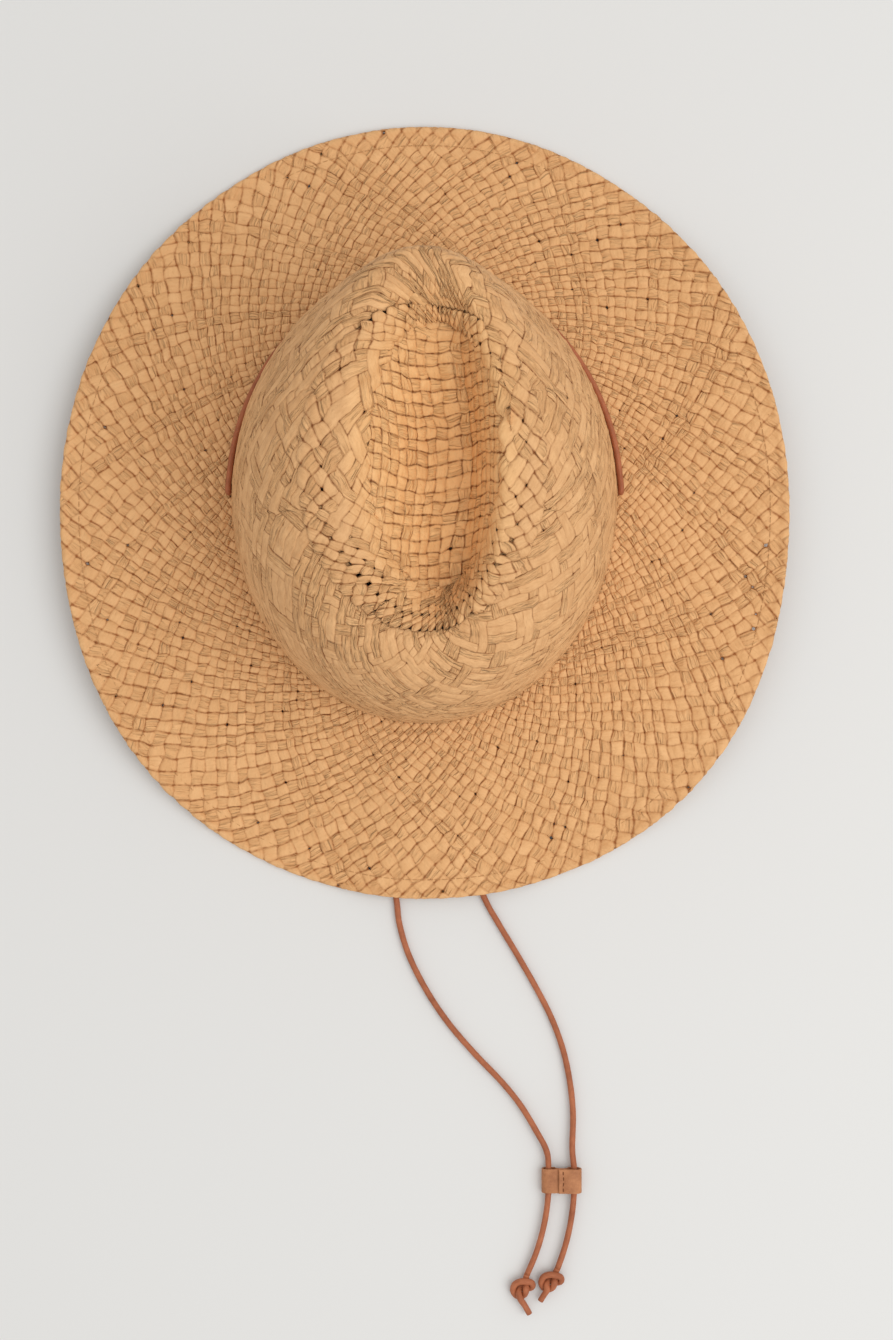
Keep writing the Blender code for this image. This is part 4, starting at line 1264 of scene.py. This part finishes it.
def ring_openwork(out, u):
    """Holes at the corners of one row of cells, just inside the ring; most open at the rear."""
    share = 0.25 + 0.75 * smooth((0.2 - np.sin(u)) / 0.6) + 0.6 * np.exp(-((u - 0.9) / 0.25) ** 2)
    row = np.floor(top_chart.high - 1.0)
    next_row = (np.abs(out - row + 1) < 0.3) * (share > 0.9)
    return RING_HOLES * share * ((np.abs(out - row) < 0.3) + 0.6 * next_row)


def ring_relief(point):
    """The knots round the holes stand higher."""
    return 1 + (RING_RELIEF - 1) * smooth((out_of_oval(point, *RING_OVAL) - 0.78) / 0.1)


top_weave = Weave(top_chart, top_pattern, height=0.00040, thickness=0.00034, relief=ring_relief,
                  openwork=ring_openwork, creased=(0.5, 0.3), sunk=0.0008)
top_pieces = weave_pieces(top_weave, "top", CROWN_STRAW, 1)


# %% [markdown]
# ## The dent
# The dent is plain weave again.  A spiral chart would draw its cells out into a fan at both ends, so here
# the cells are square on the dent's floor and go on up its slopes.  The surface is put into tables of
# heights; measuring over them keeps the ribbons as wide on the slopes as on the floor.

# %% Tables of the dent
DENT_PITCH, DENT_COVER = 0.0054, 0.002
TABLE_X, TABLE_Y = np.linspace(-0.042, 0.042, 169), np.linspace(-0.066, 0.099, 166)
SPAN_X, SPAN_Y, SPAN_CELLS = (TABLE_X[0], TABLE_X[-1]), (TABLE_Y[0], TABLE_Y[-1]), (-24, 24)
CELLS = np.linspace(*SPAN_CELLS, 481)
BLUR_ROWS, PLAN_ROUNDS = 10, 12


def lookup(table, x, y, span_x=SPAN_X, span_y=SPAN_Y):
    """A value between the points of a table whose columns run over span_x and rows over span_y."""
    column = np.clip((x - span_x[0]) / (span_x[1] - span_x[0]), 0, 1) * (table.shape[1] - 1.001)
    row = np.clip((y - span_y[0]) / (span_y[1] - span_y[0]), 0, 1) * (table.shape[0] - 1.001)
    c, r = np.floor(column).astype(int), np.floor(row).astype(int)
    right, down = column - c, row - r
    return ((table[r, c] * (1 - right) + table[r, c + 1] * right) * (1 - down)
            + (table[r + 1, c] * (1 - right) + table[r + 1, c + 1] * right) * down)


def dense_surface():
    """Points all over the ridge, the dent's slopes and its floor."""
    u = np.linspace(-pi / 2, 1.5 * pi, 481)[:, None]
    points = crown_point(u, np.linspace(0.8, 2.0, 190))
    rim = points[:, -1:]
    middle = rim * 0.5 + rim[::-1] * 0.5
    floor = middle + (rim - middle) * np.linspace(0, 1, 24)[:, None]
    return np.concatenate([points, floor], axis=1).reshape(-1, 3)


def table_of_heights(points):
    """Heights on a square grid, each a mean of the points near it."""
    total = np.zeros((len(TABLE_Y), len(TABLE_X)))
    weight = np.zeros_like(total)
    column = (points[:, 0] - TABLE_X[0]) / (TABLE_X[1] - TABLE_X[0])
    row = (points[:, 1] - TABLE_Y[0]) / (TABLE_Y[1] - TABLE_Y[0])
    for down in (-1, 0, 1, 2):
        for right in (-1, 0, 1, 2):
            r, c = np.floor(row).astype(int) + down, np.floor(column).astype(int) + right
            good = (r >= 0) & (r < len(TABLE_Y)) & (c >= 0) & (c < len(TABLE_X))
            near = np.exp(-((row - r) ** 2 + (column - c) ** 2) / 0.6)
            np.add.at(total, (r[good], c[good]), (near * points[:, 2])[good])
            np.add.at(weight, (r[good], c[good]), near[good])
    height = total / np.maximum(weight, 1e-12)
    height[weight < 1e-9] = points[:, 2].max()
    return height


DENT_HEIGHTS = table_of_heights(dense_surface())
DENT_SLOPE_X = np.gradient(DENT_HEIGHTS, TABLE_X, axis=1)
DENT_SLOPE_Y = np.gradient(DENT_HEIGHTS, TABLE_Y, axis=0)
print(f"the dent's floor lies {1000 * DENT_HEIGHTS.min():.0f} mm up")


# %% From cells to places in the dent
def places_of_cells(slope, places, origin):
    """For each row of slopes, the places at which the whole run of cell numbers is reached.

    The slopes are first averaged over neighbouring rows, so that strands run smoothly over steep parts.
    """
    slope = np.mean([np.roll(slope, shift, 0) for shift in range(-BLUR_ROWS, BLUR_ROWS + 1)], axis=0)
    step = np.sqrt(1 + slope ** 2) * (places[1] - places[0])
    reach = np.cumsum(step, axis=1) - step / 2
    start = np.argmin(np.abs(places - origin))
    cells = (reach - reach[:, start:start + 1]) / DENT_PITCH
    return np.stack([np.interp(CELLS, row, places) for row in cells])


class DentChart:
    """Cells measured over the surface from a cross on the dent's floor, so that they keep their size."""

    strands = 60

    def __init__(self):
        self.at_x = places_of_cells(DENT_SLOPE_X, TABLE_X, DENT_X)
        self.at_y = places_of_cells(DENT_SLOPE_Y.T, TABLE_Y, DENT_Y).T

    def plan(self, a, b):
        """The x and y of cell numbers a and b: each table gives one of them when the other is known."""
        x, y = np.full(np.shape(a), DENT_X), np.full(np.shape(a), DENT_Y)
        for _ in range(PLAN_ROUNDS):
            x = 0.5 * x + 0.5 * lookup(self.at_x, a, y, SPAN_CELLS, SPAN_Y)
            y = 0.5 * y + 0.5 * lookup(self.at_y, x, b, SPAN_X, SPAN_CELLS)
        return x, y

    def surface(self, x, y):
        """Points and normals of the dent and the ridge at x and y."""
        z, slope_x, slope_y = (lookup(table, x, y) for table in (DENT_HEIGHTS, DENT_SLOPE_X, DENT_SLOPE_Y))
        return three(x, y, z), unit(three(-slope_x, -slope_y, 1.0))

    def place(self, a, b):
        """Points and normals for cell numbers a and b, tucked under along the line of the oval."""
        a, b = uneven(a, b, self.strands)
        x, y = self.plan(a + 0.45 * np.sin(0.33 * b + 1), b + 0.4 * np.sin(0.4 * a))
        point, normal = self.surface(x, y)
        depth = WEAVE_DEPTH + TUCK * smooth((out_of_oval(point, *DENT_OVAL) - 0.96) / 0.06)
        return point - normal * depth[..., None], normal

    def span(self, family, index):
        """The stretch of a strand inside the oval, a little over it so that its ends are covered."""
        t = np.linspace(-30, 30, 1201)
        fixed = np.full_like(t, index + 0.5)
        x, y = self.plan(fixed, t) if family == 0 else self.plan(t, fixed)
        centre, half_width, half_length = DENT_OVAL
        oval = centre, half_width + DENT_COVER, half_length + DENT_COVER
        inside = out_of_oval(three(x, y, 0.0), *oval) < 1
        return (t[inside][0], t[inside][-1]) if inside.any() else None


# %% Weave the dent
dent_chart = DentChart()
dent_weave = Weave(dent_chart, plain, height=0.00080, thickness=0.00030, creased=(0.2, 0.7))
top_pieces += weave_pieces(dent_weave, "dent", CROWN_STRAW, 1, range(*SPAN_CELLS))

# %% [markdown]
# ## Wide ribbons on the ridge
# Round the dent the weave bends sharply, and some ribbons come loose and lie wide over the others.  They
# are laid one by one along the oval, with their place, slant and size from the fixed random numbers.

# %% Wide floats on the ridge
FLOATS = 58
FLOAT_PLACES = np.linspace(-1, 1, 13)[:, None]
FLOAT_DIVE, FLOAT_HEIGHT, FLOAT_STEEPEST = 0.0012, 0.0006, 1.0
FLOAT_LENGTH, FLOAT_LENGTH_SPREAD, FLOAT_WIDTH, FLOAT_WIDTH_SPREAD = 0.0095, 0.006, 0.0036, 0.0022


def lay_float(builder, x, y, heading, length, width, columns, pleats, number):
    """One wide ribbon over the weave that dives into it at both ends; left out where it is too steep."""
    across = np.append(columns, UNDERSIDE)
    along = FLOAT_PLACES * length / 2
    side = across * width / 2 * (1 - 0.12 * FLOAT_PLACES ** 2)
    point, normal = dent_chart.surface(x + cos(heading) * along - sin(heading) * side,
                                       y + sin(heading) * along + cos(heading) * side)
    if normal[..., 2].min() < 1 / sqrt(1 + FLOAT_STEEPEST ** 2):
        return
    dive = smooth((1 - np.abs(FLOAT_PLACES)) / 0.22)
    top = np.append(1 - 0.4 * columns ** 2, (0.2, 0.2)) * (FLOAT_DIVE + FLOAT_HEIGHT)
    level = (top + np.append(pleats, (0, 0))) * dive - FLOAT_DIVE
    builder.rings(point + normal * level[..., None], three(along + number, across, number),
                  dive * (1 - 0.5 * across ** 4))


(middle_x, middle_y), half_width, half_length = DENT_OVAL
smooth_floats, creased_floats = Builder(), Builder()
for k in range(FLOATS):
    luck = [float(chance(k, k, 1000, seed)) for seed in range(41, 47)]
    around = 2 * pi * (k + 0.7 * luck[0]) / FLOATS
    far = 0.94 + 0.22 * luck[1]
    place_x = middle_x + half_width * far * cos(around)
    place_y = middle_y + half_length * far * sin(around)
    heading = around + radians(45) * (1 if luck[2] < 0.5 else -1) + 0.5 * (luck[3] - 0.5)
    target, (columns, pleats) = (smooth_floats, SMOOTH) if luck[5] < 0.6 else (creased_floats, CREASED)
    lay_float(target, place_x, place_y, heading, FLOAT_LENGTH + FLOAT_LENGTH_SPREAD * luck[4],
              FLOAT_WIDTH + FLOAT_WIDTH_SPREAD * luck[1], columns, pleats, luck[3])
top_pieces.append(smooth_floats.make("ridge_floats_smooth", CROWN_STRAW[0]))
top_pieces.append(creased_floats.make("ridge_floats_creased", CROWN_STRAW[1]))
for piece in top_pieces:
    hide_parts("crown_top")

# %% [markdown]
# ## Light and table
# The photograph has a pale plain table and soft daylight, a little stronger from the right.  One large
# lamp gives the soft shadow on the left, and the world's even light fills the rest.

# %% Table
TABLE_SIDE, TABLE_TOP = 6, -0.0002
bpy.ops.mesh.primitive_plane_add(size=TABLE_SIDE, location=(0, 0, TABLE_TOP))
table = bpy.context.object
table.name = "table"
table_finish = Finish("table_paper", roughness=0.9, Specular_IOR_Level=0.1)
table_finish.feed("Base Color", (222, 222, 221))
table.data.materials.append(table_finish.material)


# %% Lamps and world
WINDOW_PLACE, WINDOW_SIZE, WINDOW_POWER = (1.0, -0.35, 1.6), 1.6, 16
SKY_COLOR, SKY_STRENGTH = (1.0, 0.985, 0.96, 1.0), 0.76


def area_lamp(name, place, size, power):
    """A square lamp that looks at the hat."""
    data = bpy.data.lights.new(name, "AREA")
    data.size = size
    data.energy = power
    lamp = bpy.data.objects.new(name, data)
    lamp.location = place
    lamp.rotation_euler = (-Vector(place)).to_track_quat("-Z", "Y").to_euler()
    bpy.context.scene.collection.objects.link(lamp)


area_lamp("window", WINDOW_PLACE, WINDOW_SIZE, WINDOW_POWER)
print("one window and an even sky")
world = bpy.data.worlds.new("world")
bpy.context.scene.world = world
world.use_nodes = True
sky = world.node_tree.nodes["Background"].inputs
sky["Color"].default_value = SKY_COLOR
sky["Strength"].default_value = SKY_STRENGTH
bpy.context.scene.view_settings.view_transform = "Standard"
